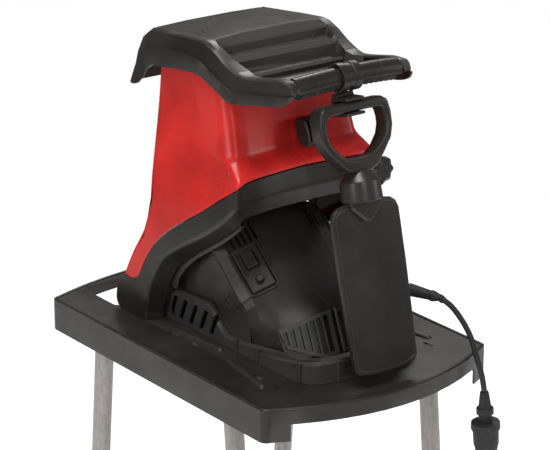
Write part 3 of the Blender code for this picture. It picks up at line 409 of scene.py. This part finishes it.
def loft(name, loops, body, slot, **settings):
    """A solid through a row of equal loops, with flat ends."""
    size = len(loops[0])
    faces = []
    for row in range(len(loops) - 1):
        for k in range(size):
            low, following = row * size, (k + 1) % size
            faces.append((low + k, low + following, low + size + following, low + size + k))
    faces.append(tuple(reversed(range(size))))
    faces.append(tuple((len(loops) - 1) * size + k for k in range(size)))
    return piece(name, [point for loop in loops for point in loop], faces, body, slot, **settings)


def double_skin(name, outer, inner, body, slot, closed=False, hole=(), **settings):
    """A thin wall between two grids of rows. A hole lists the grid's cells that are left open."""
    rows, size = len(outer), len(outer[0])
    offset = rows * size
    columns = size if closed else size - 1
    faces = []
    for row in range(rows - 1):
        for k in range(columns):
            following = (k + 1) % size
            a, b = row * size + k, row * size + following
            c, d = b + size, a + size
            if (row, k) not in hole:
                faces.append((a, b, c, d))
                faces.append((offset + d, offset + c, offset + b, offset + a))
                continue
            sides = (
                ((row - 1, k), a, b), ((row + 1, k), d, c), ((row, k - 1), a, d), ((row, k + 1), b, c),
            )
            for (near_row, near_k), start, end in sides:
                if (near_row, near_k % size) not in hole:
                    faces.append((start, end, offset + end, offset + start))
    edges = []
    for row in (0, rows - 1):
        edges += [(row * size + k, row * size + (k + 1) % size) for k in range(columns)]
    if not closed:
        for k in (0, size - 1):
            edges += [(row * size + k, (row + 1) * size + k) for row in range(rows - 1)]
    faces += [(a, b, offset + b, offset + a) for a, b in edges]
    points = [point for row in outer for point in row] + [point for row in inner for point in row]
    return piece(name, points, faces, body, slot, **settings)


def ring(centre, axis, radius, steps):
    """A ring of points round an axis."""
    axis = Vector(axis).normalized()
    helper = Vector((0.0, 0.0, 1.0)) if abs(axis.z) < 0.9 else Vector((1.0, 0.0, 0.0))
    side = axis.cross(helper).normalized()
    other = axis.cross(side)
    turns = [2 * math.pi * step / steps for step in range(steps)]
    return [tuple(Vector(centre) + radius * (side * math.cos(t) + other * math.sin(t))) for t in turns]


def turned(name, profile, base, axis, body, slot, steps=32, **settings):
    """A turned piece from (distance along the axis, radius) pairs."""
    axis = Vector(axis).normalized()
    loops = [ring(Vector(base) + axis * distance, axis, radius, steps) for distance, radius in profile]
    return loft(name, loops, body, slot, **settings)


def bead(name, path, radius, body, slot, steps=12, round_ends=True):
    """A round bead along a path of points, tapering to a dome at both ends."""
    points = [Vector(point) for point in path]
    loops = []
    if round_ends:
        start = (points[0] - points[1]).normalized()
        end = (points[-1] - points[-2]).normalized()
        for share in (0.98, 0.8, 0.45):
            size = radius * math.sqrt(1 - share**2)
            loops.append(ring(points[0] + start * radius * share, -start, size, steps))
    for k, point in enumerate(points):
        run = points[min(k + 1, len(points) - 1)] - points[max(k - 1, 0)]
        loops.append(ring(point, run, radius, steps))
    if round_ends:
        for share in (0.45, 0.8, 0.98):
            size = radius * math.sqrt(1 - share**2)
            loops.append(ring(points[-1] + end * radius * share, end, size, steps))
    return loft(name, loops, body, slot)


def slab(name, x, y, z, body, slot, edge=0.5):
    """A small block between two values on each axis."""
    loops = [[(x[0], y[0], h), (x[1], y[0], h), (x[1], y[1], h), (x[0], y[1], h)] for h in z]
    return loft(name, loops, body, slot, edge=edge)


# ---------------------------------------------------------------- arch and hopper

# The hopper's half width and the y of its rear wall against the height
HOPPER_WIDTH = (
    (0, 124), (50, 124), (144, 121), (200, 117), (241, 110), (268, 105), (300, 102.6), (400, 99),
)
HOPPER_REAR = (
    (20, 170), (50, 152), (80, 138), (104, 122), (129, 104), (150, 95), (177, 94), (216, 95), (269, 98),
    (331, 93), (400, 88),
)
# Height of the rim on the sides, hidden in the hood, against the share of the way from rear to front
HOPPER_RIM = ((0.0, 362.0), (0.3, 372.0), (0.8, 370.0), (1.0, 364.0))
FRONT_RIM = 350.0
HOPPER_FOOT = 51.8
FRONT_CORNER = ((229.5, -90.0), (268.0, -66.0), (347.0, -46.0), (400.0, -40.0))
FRONT_SHOULDER = ((0, -62), (45, -66), (80, -71), (100, -71), (116, -66))
RIM_FRONT = -47.5
SHELF_HEIGHT = 261.0
REAR_CORNER = 8.0
FRONT_ROUNDING = 18.0
# The side's sunk panel lies in front of this edge, given as (z, y) pairs
PANEL_EDGE = (
    (190, 64), (201, 60), (229, 52), (250, 41), (269, 31), (305, 24), (324, 12), (333, -10), (339, -38),
    (344, -120),
)
PANEL_DEPTH = 1.8

# Pairs of (y, z) on the arch's outer edge, its crease and its inner edge, from foot to front corner
ARCH_SIDE = (
    ((152.3, GAP), (98.0, GAP), (90.0, GAP)),
    ((162.0, 4.3), (97.5, 6.0), (89.0, 4.0)),
    ((166.0, 14.0), (97.0, 13.0), (88.0, 9.0)),
    ((160.0, 37.0), (94.0, 24.0), (85.0, 18.0)),
    ((150.0, 50.5), (91.5, 36.0), (81.5, 29.0)),
    ((131.0, 50.5), (89.0, 46.0), (77.0, 41.0)),
    ((113.0, 58.0), (84.0, 57.0), (71.0, 54.0)),
    ((97.0, 85.0), (75.0, 75.0), (60.0, 73.0)),
    ((72.0, 117.0), (58.0, 98.0), (45.0, 90.0)),
    ((33.0, 148.0), (24.0, 122.0), (12.0, 114.0)),
    ((-20.0, 181.0), (-22.0, 149.0), (-32.0, 142.0)),
    ((-55.0, 205.0), (-60.0, 175.0), (-65.0, 165.0)),
    ((-76.0, 219.0), (-82.0, 194.0), (-83.0, 179.0)),
)
# Points (x, y, z) on the same three edges, from the front corner to the middle
ARCH_FRONT = (
    ((-115.5, -96.0, 231.5), (-118.5, -98.0, 207.5), (-101.0, -92.0, 190.0)),
    ((-100.0, -95.0, 237.0), (-105.0, -100.0, 213.5), (-95.0, -96.0, 194.0)),
    ((-80.0, -95.0, 240.0), (-80.0, -101.0, 216.0), (-78.0, -97.0, 196.0)),
    ((-40.0, -92.0, 241.0), (-40.0, -99.0, 217.5), (-40.0, -95.0, 197.0)),
    ((0.0, -90.0, 241.5), (0.0, -98.0, 218.0), (0.0, -94.0, 197.0)),
)
ARCH_PARTS = 6
HINGE_Y = 152.3
HINGE_Z = 14.0
HEEL_RADIUS = 13.3
SIDE_START = 5


def clear_of_plate(point):
    """Keeps the arch's heel round the hinge, so that it clears the plate as the hopper swings back."""
    x, y, z = point
    heel = Vector((y - HINGE_Y, z - HINGE_Z))
    if y < HINGE_Y - 4.0 or z > HINGE_Z + 4.0 or heel.length <= HEEL_RADIUS:
        return point
    heel *= HEEL_RADIUS / heel.length
    return (x, HINGE_Y + heel.x, HINGE_Z + heel.y)


def arch_stations():
    """The arch's three edges as rows of points on the left half, joined by smooth curves."""
    edges = []
    for number in range(3):
        side = []
        for station in ARCH_SIDE:
            y, z = station[number]
            x = -(soft_graph(HOPPER_WIDTH, z) + 1.6) if number < 2 else -104.0
            side.append((x, y, z))
        path = smooth_path(side + [station[number] for station in ARCH_FRONT], ARCH_PARTS)
        edges.append([clear_of_plate(point) for point in path])
    return edges


def arch_inner(number, point):
    """The inner skin's point behind a point of one of the arch's edges."""
    x, y, z = point
    if y < -70.0:
        share = min(1.0, max(0.0, (abs(x) - 70.0) / 30.0))
        return (x - math.copysign(WALL * share, x), y + WALL, z)
    back = (0.0, 1.9, 1.9)[number]
    inward = (WALL, WALL, 0.5)[number]
    return (x - math.copysign(inward, x), y + back, z + back * min(1.0, z / 15.0 - GAP / 15.0))


def folded(rows, share=0.2, steps=4):
    """The three rows of a folded strip with more rows between, its fold rounded off."""
    first, fold, last = (np.array(row, float) for row in rows)
    before = fold + (first - fold) * share
    after = fold + (last - fold) * share
    result = [first, (first + before) / 2]
    for step in range(steps + 1):
        t = step / steps
        result.append((1 - t) ** 2 * before + 2 * t * (1 - t) * fold + t**2 * after)
    result.append(last)
    return [[tuple(point) for point in row] for row in result]


def arch_trim():
    rows = [mirrored(edge) for edge in arch_stations()]
    inner = [[arch_inner(number, point) for point in row] for number, row in enumerate(rows)]
    double_skin("arch_trim_skin", folded(rows), folded(inner), "hopper", "black_plastic",
                replaces="arch_trim", edge=0.8)


def hopper_feet():
    """The foot of each upright line on the left half, along the arch: its kind and its point."""
    outer, crease, _ = arch_stations()
    first = SIDE_START * ARCH_PARTS
    feet = []
    for edge, lower in zip(outer[first:], crease[first:]):
        away = (Vector(edge) - Vector(lower)).normalized()
        foot = Vector(edge) + away * 2.2
        feet.append(("side" if foot.y > -80.0 else "front", tuple(foot)))
    return feet


def corner_rounding(z):
    return FRONT_ROUNDING * ease((z - 238.0) / 30.0)


def side_point(feet, foot, z):
    """The side follows the rear edge and the arch; it carries a sunk panel."""
    limits = [(point[2], point[1]) for kind, point in feet if kind == "side"]
    limit = graph(tuple(limits) + FRONT_CORNER, z) + corner_rounding(z)
    back_edge = soft_graph(HOPPER_REAR, z) - REAR_CORNER
    low = HOPPER_FOOT - 6.0
    share = (foot[2] - low) / (z - low)
    y = back_edge + share * (limit - back_edge)
    sunk = ease((graph(PANEL_EDGE, z) - y) / 5.0) * ease((z - 190.0) / 30.0) * ease((y + 62.0) / 22.0)
    return (-soft_graph(HOPPER_WIDTH, z) + PANEL_DEPTH * sunk, y, z)


def front_point(foot, z):
    """The front rises from a lip on the arch, over a shelf, to the steep wall below the carrying bar."""
    x, y, foot_z = foot
    share = (abs(x) - (1.6 if x < -104.0 else 0.0)) / soft_graph(HOPPER_WIDTH, foot_z)
    flare = max(0.0, share - 1.0) * ease((255.0 - z) / 20.0)
    half_width = soft_graph(HOPPER_WIDTH, z)
    here = (min(share, 1.0) + flare) * half_width
    shoulder_y = graph(FRONT_SHOULDER, abs(x))
    profile = (
        (foot_z, y), (foot_z + 6.0, y + 1.0), (SHELF_HEIGHT, shoulder_y), (FRONT_RIM, RIM_FRONT),
    )
    depth = soft_graph(profile, z, min(4.5, z - foot_z))
    radius = corner_rounding(z)
    beyond = min(radius, max(0.0, here - (half_width - radius)))
    return (-here, depth + radius - math.sqrt(max(0.0, radius**2 - beyond**2)), z)


FRONT_LEVELS = (0.0, 0.03, 0.06, 0.1, 0.14, 0.18, 0.22, 0.26, 0.3, 0.36, 0.44, 0.55, 0.7, 0.85, 1.0)
# Heights of the rows on the rear wall, with the window between two of them
REAR_HEIGHTS = (51.8, 70, 90, 110, 130, 150, 170, 187, 204, 225, 250, 275, 300, 322, 362)
WINDOW_ROWS = (8, 13)
WINDOW_HALF_WIDTH = 78.0


def hopper_column(feet, column):
    """One upright line of the hopper's skin on its left half, from the foot to the rim."""
    kind, value = column
    points = []
    for number, level in enumerate(FRONT_LEVELS):
        if kind in ("rear", "corner"):
            z = REAR_HEIGHTS[number]
            width, rear = soft_graph(HOPPER_WIDTH, z), soft_graph(HOPPER_REAR, z)
            if kind == "rear":
                points.append((-value, rear, z))
            else:
                inset = REAR_CORNER * (1 - math.sin(value))
                points.append((-(width - inset), rear - REAR_CORNER * (1 - math.cos(value)), z))
            continue
        front = kind == "front"
        share = (value[2] - HOPPER_FOOT) / (FRONT_CORNER[0][0] - HOPPER_FOOT)
        rim = FRONT_RIM if front else graph(HOPPER_RIM, share)
        z = value[2] + (rim - value[2]) * level
        points.append(front_point(value, z) if front else side_point(feet, value, z))
    return points


def hopper_shell():
    feet = hopper_feet()
    window_parts = 4
    columns = [("rear", WINDOW_HALF_WIDTH * k / window_parts) for k in range(window_parts + 1)]
    columns += [("rear", 86.0)] + [("corner", math.radians(a)) for a in (0, 18, 36, 54, 72, 90)]
    left = [hopper_column(feet, column) for column in columns + feet]
    right = [[(-x, y, z) for x, y, z in column] for column in reversed(left[1:-1])]
    ring_of_columns = left + right
    size = len(ring_of_columns)
    outer = [[column[row] for column in ring_of_columns] for row in range(len(FRONT_LEVELS))]
    inner = []
    for row in outer:
        moved = []
        for k, (x, y, z) in enumerate(row):
            before, after = row[k - 1], row[(k + 1) % size]
            run = Vector((after[0] - before[0], after[1] - before[1], 0.0)).normalized()
            inward = Vector((-run.y, run.x, 0.0))
            if inward.dot(Vector((-x, 20.0 - y, 0.0))) < 0:
                inward = -inward
            moved.append((x + inward.x * WALL, y + inward.y * WALL, z))
        inner.append(moved)
    window_columns = [*range(window_parts), *range(size - window_parts, size)]
    hole = {(row, k) for row in range(*WINDOW_ROWS) for k in window_columns}
    double_skin("hopper_skin", outer, inner, "hopper", "red_plastic", closed=True, hole=hole,
                replaces="hopper_shell", edge=0.8)


# ---------------------------------------------------------------- details on the base and the cover


PLATE_FLANK = 170.0
PLATE_HALF_LENGTH = 244.0
PLATE_FRONT = 292.0
PLATE_REAR = 273.0
PLATE_CORNER = 11.5
RIM_INSET = 3.7
RIM_RADIUS = 3.5
RIM_HEIGHT = -1.7


def rim_outline():
    """The line of the rolled rim seen from above, inset from the plate's outline."""
    half = []
    for sign, end in ((-1.0, PLATE_FRONT), (1.0, PLATE_REAR)):
        crown, shoulder = sign * (end - RIM_INSET), sign * (PLATE_HALF_LENGTH - RIM_INSET)
        bow = [(PLATE_FLANK * k / 8, crown + (shoulder - crown) * (k / 8) ** 2) for k in range(9)]
        reach = PLATE_CORNER - RIM_INSET
        for turn in (math.radians(angle) for angle in (30, 60, 90)):
            y = shoulder - sign * reach * (1 - math.cos(turn))
            bow.append((PLATE_FLANK + reach * math.sin(turn), y))
        half += bow if sign < 0 else bow[::-1]
    return half + [(-x, y) for x, y in reversed(half) if x > 0]


def plate_rim():
    """The rolled rim along the plate's outer edge, a closed round bead."""
    outline = rim_outline()
    size, steps = len(outline), 14
    points, faces = [], []
    for row, (x, y) in enumerate(outline):
        before, after = outline[row - 1], outline[(row + 1) % size]
        run = (after[0] - before[0], after[1] - before[1], 0.0)
        points += ring((x, y, RIM_HEIGHT), run, RIM_RADIUS, steps)
        up = (row + 1) % size
        for k in range(steps):
            right = (k + 1) % steps
            faces.append((row * steps + k, row * steps + right, up * steps + right, up * steps + k))
    piece("plate_rim", points, faces, "stand", "black_plastic")


RIDGES = (("rear", ((110.0, 61.0), (106.0, -47.0))), ("front", ((118.0, -80.0), (136.0, -177.0))))
RIDGE_HEIGHT = -1.6
RIDGE_RADIUS = 5.2


def base_ridges():
    """Two raised ridges on each side of the plate, which stiffen it beside the cable slots."""
    for side, where in ((-1, "left"), (1, "right")):
        for name, ends in RIDGES:
            path = [(side * x, y, RIDGE_HEIGHT) for x, y in ends]
            bead("ridge_%s_%s" % (name, where), path, RIDGE_RADIUS, "stand", "black_plastic", 16)


def cover_strips():
    """The cover's chamfered side strips, and the ribs on the cheeks below them."""
    for side, where in ((-1, "left"), (1, "right")):
        loops = []
        for along in (-80.0, -50.0, -20.0, 8.0, 13.0):
            drop = 2.0 if along > 10.0 else 0.0
            crest = drum_point(side * 79.5, along, -0.3)
            ridge = drum_point(side * 82.5, along, 2.4 - drop)
            foot = tilted(side * (94.6 - drop), along, 106.5)
            flank = tilted(side * (95.4 - drop), along, 103.0)
            root = tilted(side * 91.0, along, 101.0)
            loops.append([crest, ridge, foot, flank, root])
        loft("cover_strip_" + where, loops, "stand", "black_plastic", edge=0.8)
        for k, along in enumerate((-12.0, 2.0)):
            path = [tilted(side * 93.5, along, across) for across in (70.0, 90.0)]
            bead("cover_rib_%s_%d" % (where, k + 1), path, 1.6, "stand", "black_plastic")


def control_rim():
    """The raised U round the controls and the brow over them."""
    corner = 7.0
    left, right, top, foot = -84.0, -48.0, -52.0, 13.0
    turns = [math.radians(angle) for angle in (0, 30, 60, 90)]
    path = [(left, top)]
    for turn in turns:
        path.append((left + corner * (1 - math.cos(turn)), foot - corner * (1 - math.sin(turn))))
    for turn in turns:
        path.append((right - corner * (1 - math.sin(turn)), foot - corner * (1 - math.cos(turn))))
    path.append((right, top))
    rim = [drum_point(x, along, 0.9) for x, along in path]
    bead("control_rim", rim, 1.7, "stand", "black_plastic")
    brow = [drum_point(x, top - 1.0, 0.4) for x in (-84.0, -72.0, -60.0, -48.0)]
    bead("control_brow", brow, 1.5, "stand", "black_plastic")


# The cheek's outline as (y, z) pairs. Its upper edge hides behind the arch, its lower edge shows inside.
CHEEK = (
    (84.0, 49.6), (77.0, 60.0), (64.0, 80.0), (49.0, 95.0), (16.0, 119.0), (-28.0, 146.0), (-62.0, 170.0),
    (-80.0, 184.0), (-84.0, 174.0), (-66.0, 159.0), (-33.0, 136.0), (11.0, 108.0), (38.0, 86.0),
    (52.0, 70.0), (60.0, 49.6),
)


def chassis_cheeks():
    """Upright walls inside the arch that close the space beside the motor's cover."""
    for side, where in ((-1, "left"), (1, "right")):
        loops = [[(side * x, y, z) for y, z in CHEEK] for x in (97.6, 99.6)]
        loft("chassis_cheek_" + where, loops, "stand", "black_plastic", edge=0.5)
        width = sorted((side * 89.8, side * 91.8))
        slab("chassis_rear_" + where, width, (84.0, 134.0), (GAP, 56.0), "stand", "black_plastic")


def chassis_apron():
    """A thin wall across the top end of the motor's cover, behind the arch's front."""
    places = range(-90, 91, 15)
    crest = [drum_point(x, -99.0, -1.0) for x in places]
    upper = [tilted(x, -104.0, 152.0 - 22.0 * (x / 90.0) ** 2) for x in places]
    back = [(x, y + 2.0, z + 1.0) for x, y, z in upper]
    low_back = [(x, y + 2.0, z - 1.0) for x, y, z in crest]
    double_skin("chassis_apron", [crest, upper], [low_back, back], "stand", "black_plastic")


def sleeve_lip():
    """The soft lip at the end of the bending sleeve, closed round the cord."""
    start, following = Vector(CORD_ROUTE[0]), Vector(CORD_ROUTE[1])
    run = (start - Vector(SLEEVE_BASE)).normalized()
    path = smooth_path((start - run * 4.0, start, start.lerp(following, 0.22)), 3)
    bead("sleeve_lip", path, 4.9, "stand", "rubber", 20)


# Where the shroud's posts stand on the left, and how high they reach, as (x, y, z)
POSTS = ((-95.2, -66.0, 18.5), (-95.2, -112.0, 20.5), (-92.0, -196.0, 27.0), (-50.0, -222.0, 29.0))


def shroud_posts():
    """Short posts on the shroud's outer side."""
    for x, y, top in POSTS:
        for side, where in ((1, "left"), (-1, "right")):
            name = "shroud_post_%d_%s" % (-y, where)
            width = sorted((side * (x - 1.2), side * (x + 3.0)))
            slab(name, width, (y - 2.2, y + 2.2), (GAP, top), "stand", "black_plastic", 0.6)


ROOF_TOP = 407.0
ROOF_REAR_TOP = 394.5
ROOF_LENGTH = 120.0


def hood_details():
    """The tabs on the louvres and the flush screws on the roof."""
    for x, where in ((-66.0, "left"), (62.0, "right")):
        tab = ((x - 1.6, x + 1.6), (-25.0, -21.2), (384.0, 390.0))
        slab("louvre_tab_" + where, *tab, "hopper", "black_plastic")
    head = ((-1.5, 2.0), (0.15, 2.0), (0.35, 1.6))
    for name, x, y in (("19_73", 19.0, 73.0), ("67_37", 67.0, 37.0), ("67_38", -67.0, 37.0)):
        height = ROOF_TOP + (ROOF_REAR_TOP - ROOF_TOP) * y / ROOF_LENGTH
        spot = (x, y, height - 0.3)
        turned("roof_screw_" + name, head, spot, (0, 0, 1), "hopper", "black_plastic", 16)


BAR_Y = -168.0
BAR_Z = 375.5
BAR_HALF_LENGTH = 81.3
BAR_ARCH = 3.0


def bar_seams():
    """Raised seams round the carrying bar, which is slightly arched."""
    seam = ((0.0, 13.6), (0.3, 14.2), (0.8, 14.2), (1.1, 13.6))
    for name, x in (("left_52", -52.0), ("right_49", 49.0)):
        height = BAR_Z + BAR_ARCH * (1 - (x / BAR_HALF_LENGTH) ** 2)
        turned("bar_seam_" + name, seam, (x, BAR_Y, height), (1, 0, 0), "hopper", "black_plastic", 32)


def tamper_neck():
    """The turned neck between the handle and the paddle, tapering up to a point."""
    base = Vector(tamper_point(0.0, 0.0, 0.0))
    axis = Vector(tamper_point(0.0, 1.0, 0.0)) - base
    profile = (
        (76.0, 2.0), (79.0, 6.5), (94.0, 20.0), (98.5, 24.0), (101.0, 25.6), (124.0, 26.5), (125.6, 25.5),
    )
    turned("tamper_neck_body", profile, base, axis, "tamper", "black_plastic", 40,
           replaces="tamper_neck", edge=0.8)


def tamper_wedge():
    """The pointed wedge that joins the neck to the front of the paddle."""
    half = ((0.0, 120.0), (25.0, 120.0), (25.0, 132.0), (6.0, 150.0), (0.0, 152.0))
    outline = list(half) + [(-x, down) for x, down in reversed(half[1:-1])]
    loops = []
    for forward, inset in ((3.0, 0.0), (8.0, 0.0), (11.0, 2.5)):
        loop = []
        for x, down in outline:
            inner = x - math.copysign(min(abs(x), inset), x)
            loop.append(tamper_point(inner, down - (inset if down > 125.0 else 0.0), forward))
        loops.append(loop)
    loft("tamper_wedge", loops, "tamper", "black_plastic", edge=0.7)


def paddle_border():
    """A fine bead round the paddle on its front and on its rear."""
    neck = ((-27.0, 131.0), (-38.0, 132.5), (-46.0, 138.0))
    side = ((-48.5, 150), (-48.6, 212), (-47.0, 300), (-45.5, 328), (-41.0, 335), (-28, 338.8))
    left = list(neck + side)
    path = left + [(0, 340.2)] + [(-x, down) for x, down in reversed(left)]
    for where, forward in (("front", 4.3), ("rear", -4.3)):
        points = smooth_path([tamper_point(x, down, forward) for x, down in path], 3)
        bead("paddle_border_" + where, points, 0.9, "tamper", "black_plastic", 8)


def plug_pins():
    """The plug's two round pins, on the plug's own axis."""
    axis = Vector(PLUG_AXIS).normalized()
    end = Vector(CORD_ROUTE[-1]) + axis * PLUG_LENGTH
    side = axis.cross(Vector((0.0, 1.0, 0.0))).normalized()
    shape = ((0.0, 2.4), (18.0, 2.4), (20.0, 1.4))
    pins = []
    for sign, where in ((-1, "left"), (1, "right")):
        foot = end + side * sign * PIN_SPACING / 2
        pins.append(turned("plug_pin_" + where, shape, foot, axis, "stand", "zinc", 16))
    return pins


WHEEL_X = 185.0
AXLE_Z = -448.0
AXLE_Y = -148.0 - 0.096 * (-43.0 - AXLE_Z)


def turn_directions(turn):
    """The outward and the forward direction at a turn round the wheels' axle."""
    outward = Vector((0.0, math.cos(turn), math.sin(turn)))
    return outward, Vector((0.0, -math.sin(turn), math.cos(turn)))


def spokes(where, side, hub, count=8):
    """Round spokes on the outer face of the wheel's dished web."""
    for k in range(count):
        outward, _ = turn_directions(2 * math.pi * k / count)
        start = hub + Vector((side * 2.6, 0.0, 0.0)) + outward * 18.0
        ends = (start, start + outward * 38.0)
        bead("spoke_%s_%d" % (where, k + 1), ends, 3.2, where + "_wheel", "black_plastic", 10, False)


def treads(where, hub, count=36):
    """Blocks across the wheel's tread."""
    block = ((-9.0, -2.4), (9.0, -2.4), (9.0, 2.4), (-9.0, 2.4))
    for k in range(count):
        outward, forward = turn_directions(2 * math.pi * k / count)
        loops = []
        for radius in (73.0, 74.9):
            middle = hub + outward * radius
            loops.append([tuple(middle + Vector((u, 0.0, 0.0)) + forward * v) for u, v in block])
        loft("tread_%s_%d" % (where, k + 1), loops, where + "_wheel", "black_plastic")


def wheel_details():
    """Hub caps on the axle's ends, and the spokes and treads of both wheels."""
    cap = ((5.4, 13.0), (8.0, 12.0), (10.0, 7.0))
    for side, where in ((-1, "left"), (1, "right")):
        hub = Vector((side * WHEEL_X, AXLE_Y, AXLE_Z))
        turned("hub_cap_" + where, cap, hub, (side, 0, 0), "stand", "zinc", 32, edge=0.6)
        spokes(where, side, hub)
        treads(where, hub)


# ---------------------------------------------------------------- cord

CORD_DIAMETER = 7.5
CORD_ROUTE = (
    (108.5, -231.0, 79.5),
    (117.0, -243.0, 70.0),
    (124.5, -257.0, 52.0),
    (131.5, -266.5, 30.0),
    (138.0, -272.0, 2.0),
    (144.5, -274.5, -22.0),
    (149.0, -275.3, -45.0),
)
PLUG_AXIS = (0.062, -0.02, -0.998)
PLUG_LENGTH = 83.9
PIN_SPACING = 19.0
# The middle of the sleeve's foot on the terminal box
SLEEVE_BASE = (84.0, -192.5, 86.0)


def add_cord(looks, plug_pins):
    points = smooth_path(CORD_ROUTE, 4)
    curve = bpy.data.curves.new("mains_cord", "CURVE")
    curve.dimensions = "3D"
    curve.bevel_depth = CORD_DIAMETER / 2 * MM
    curve.bevel_resolution = 5
    curve.use_fill_caps = True
    line = curve.splines.new("POLY")
    line.points.add(len(points) - 1)
    for point, spot in zip(line.points, points):
        point.co = (*place(*spot), 1.0)
    curve.materials.append(looks["rubber"])
    made = bpy.data.objects.new("mains_cord", curve)
    bpy.context.scene.collection.objects.link(made)
    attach(made, "stand")
    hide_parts("cord")


add_camera()
add_studio()
looks = make_materials()
dress_cad_nodes(looks)
add_cord(looks, plug_pins())
arch_trim()
hopper_shell()
plate_rim()
base_ridges()
cover_strips()
control_rim()
chassis_cheeks()
chassis_apron()
sleeve_lip()
shroud_posts()
hood_details()
bar_seams()
tamper_neck()
tamper_wedge()
paddle_border()
wheel_details()
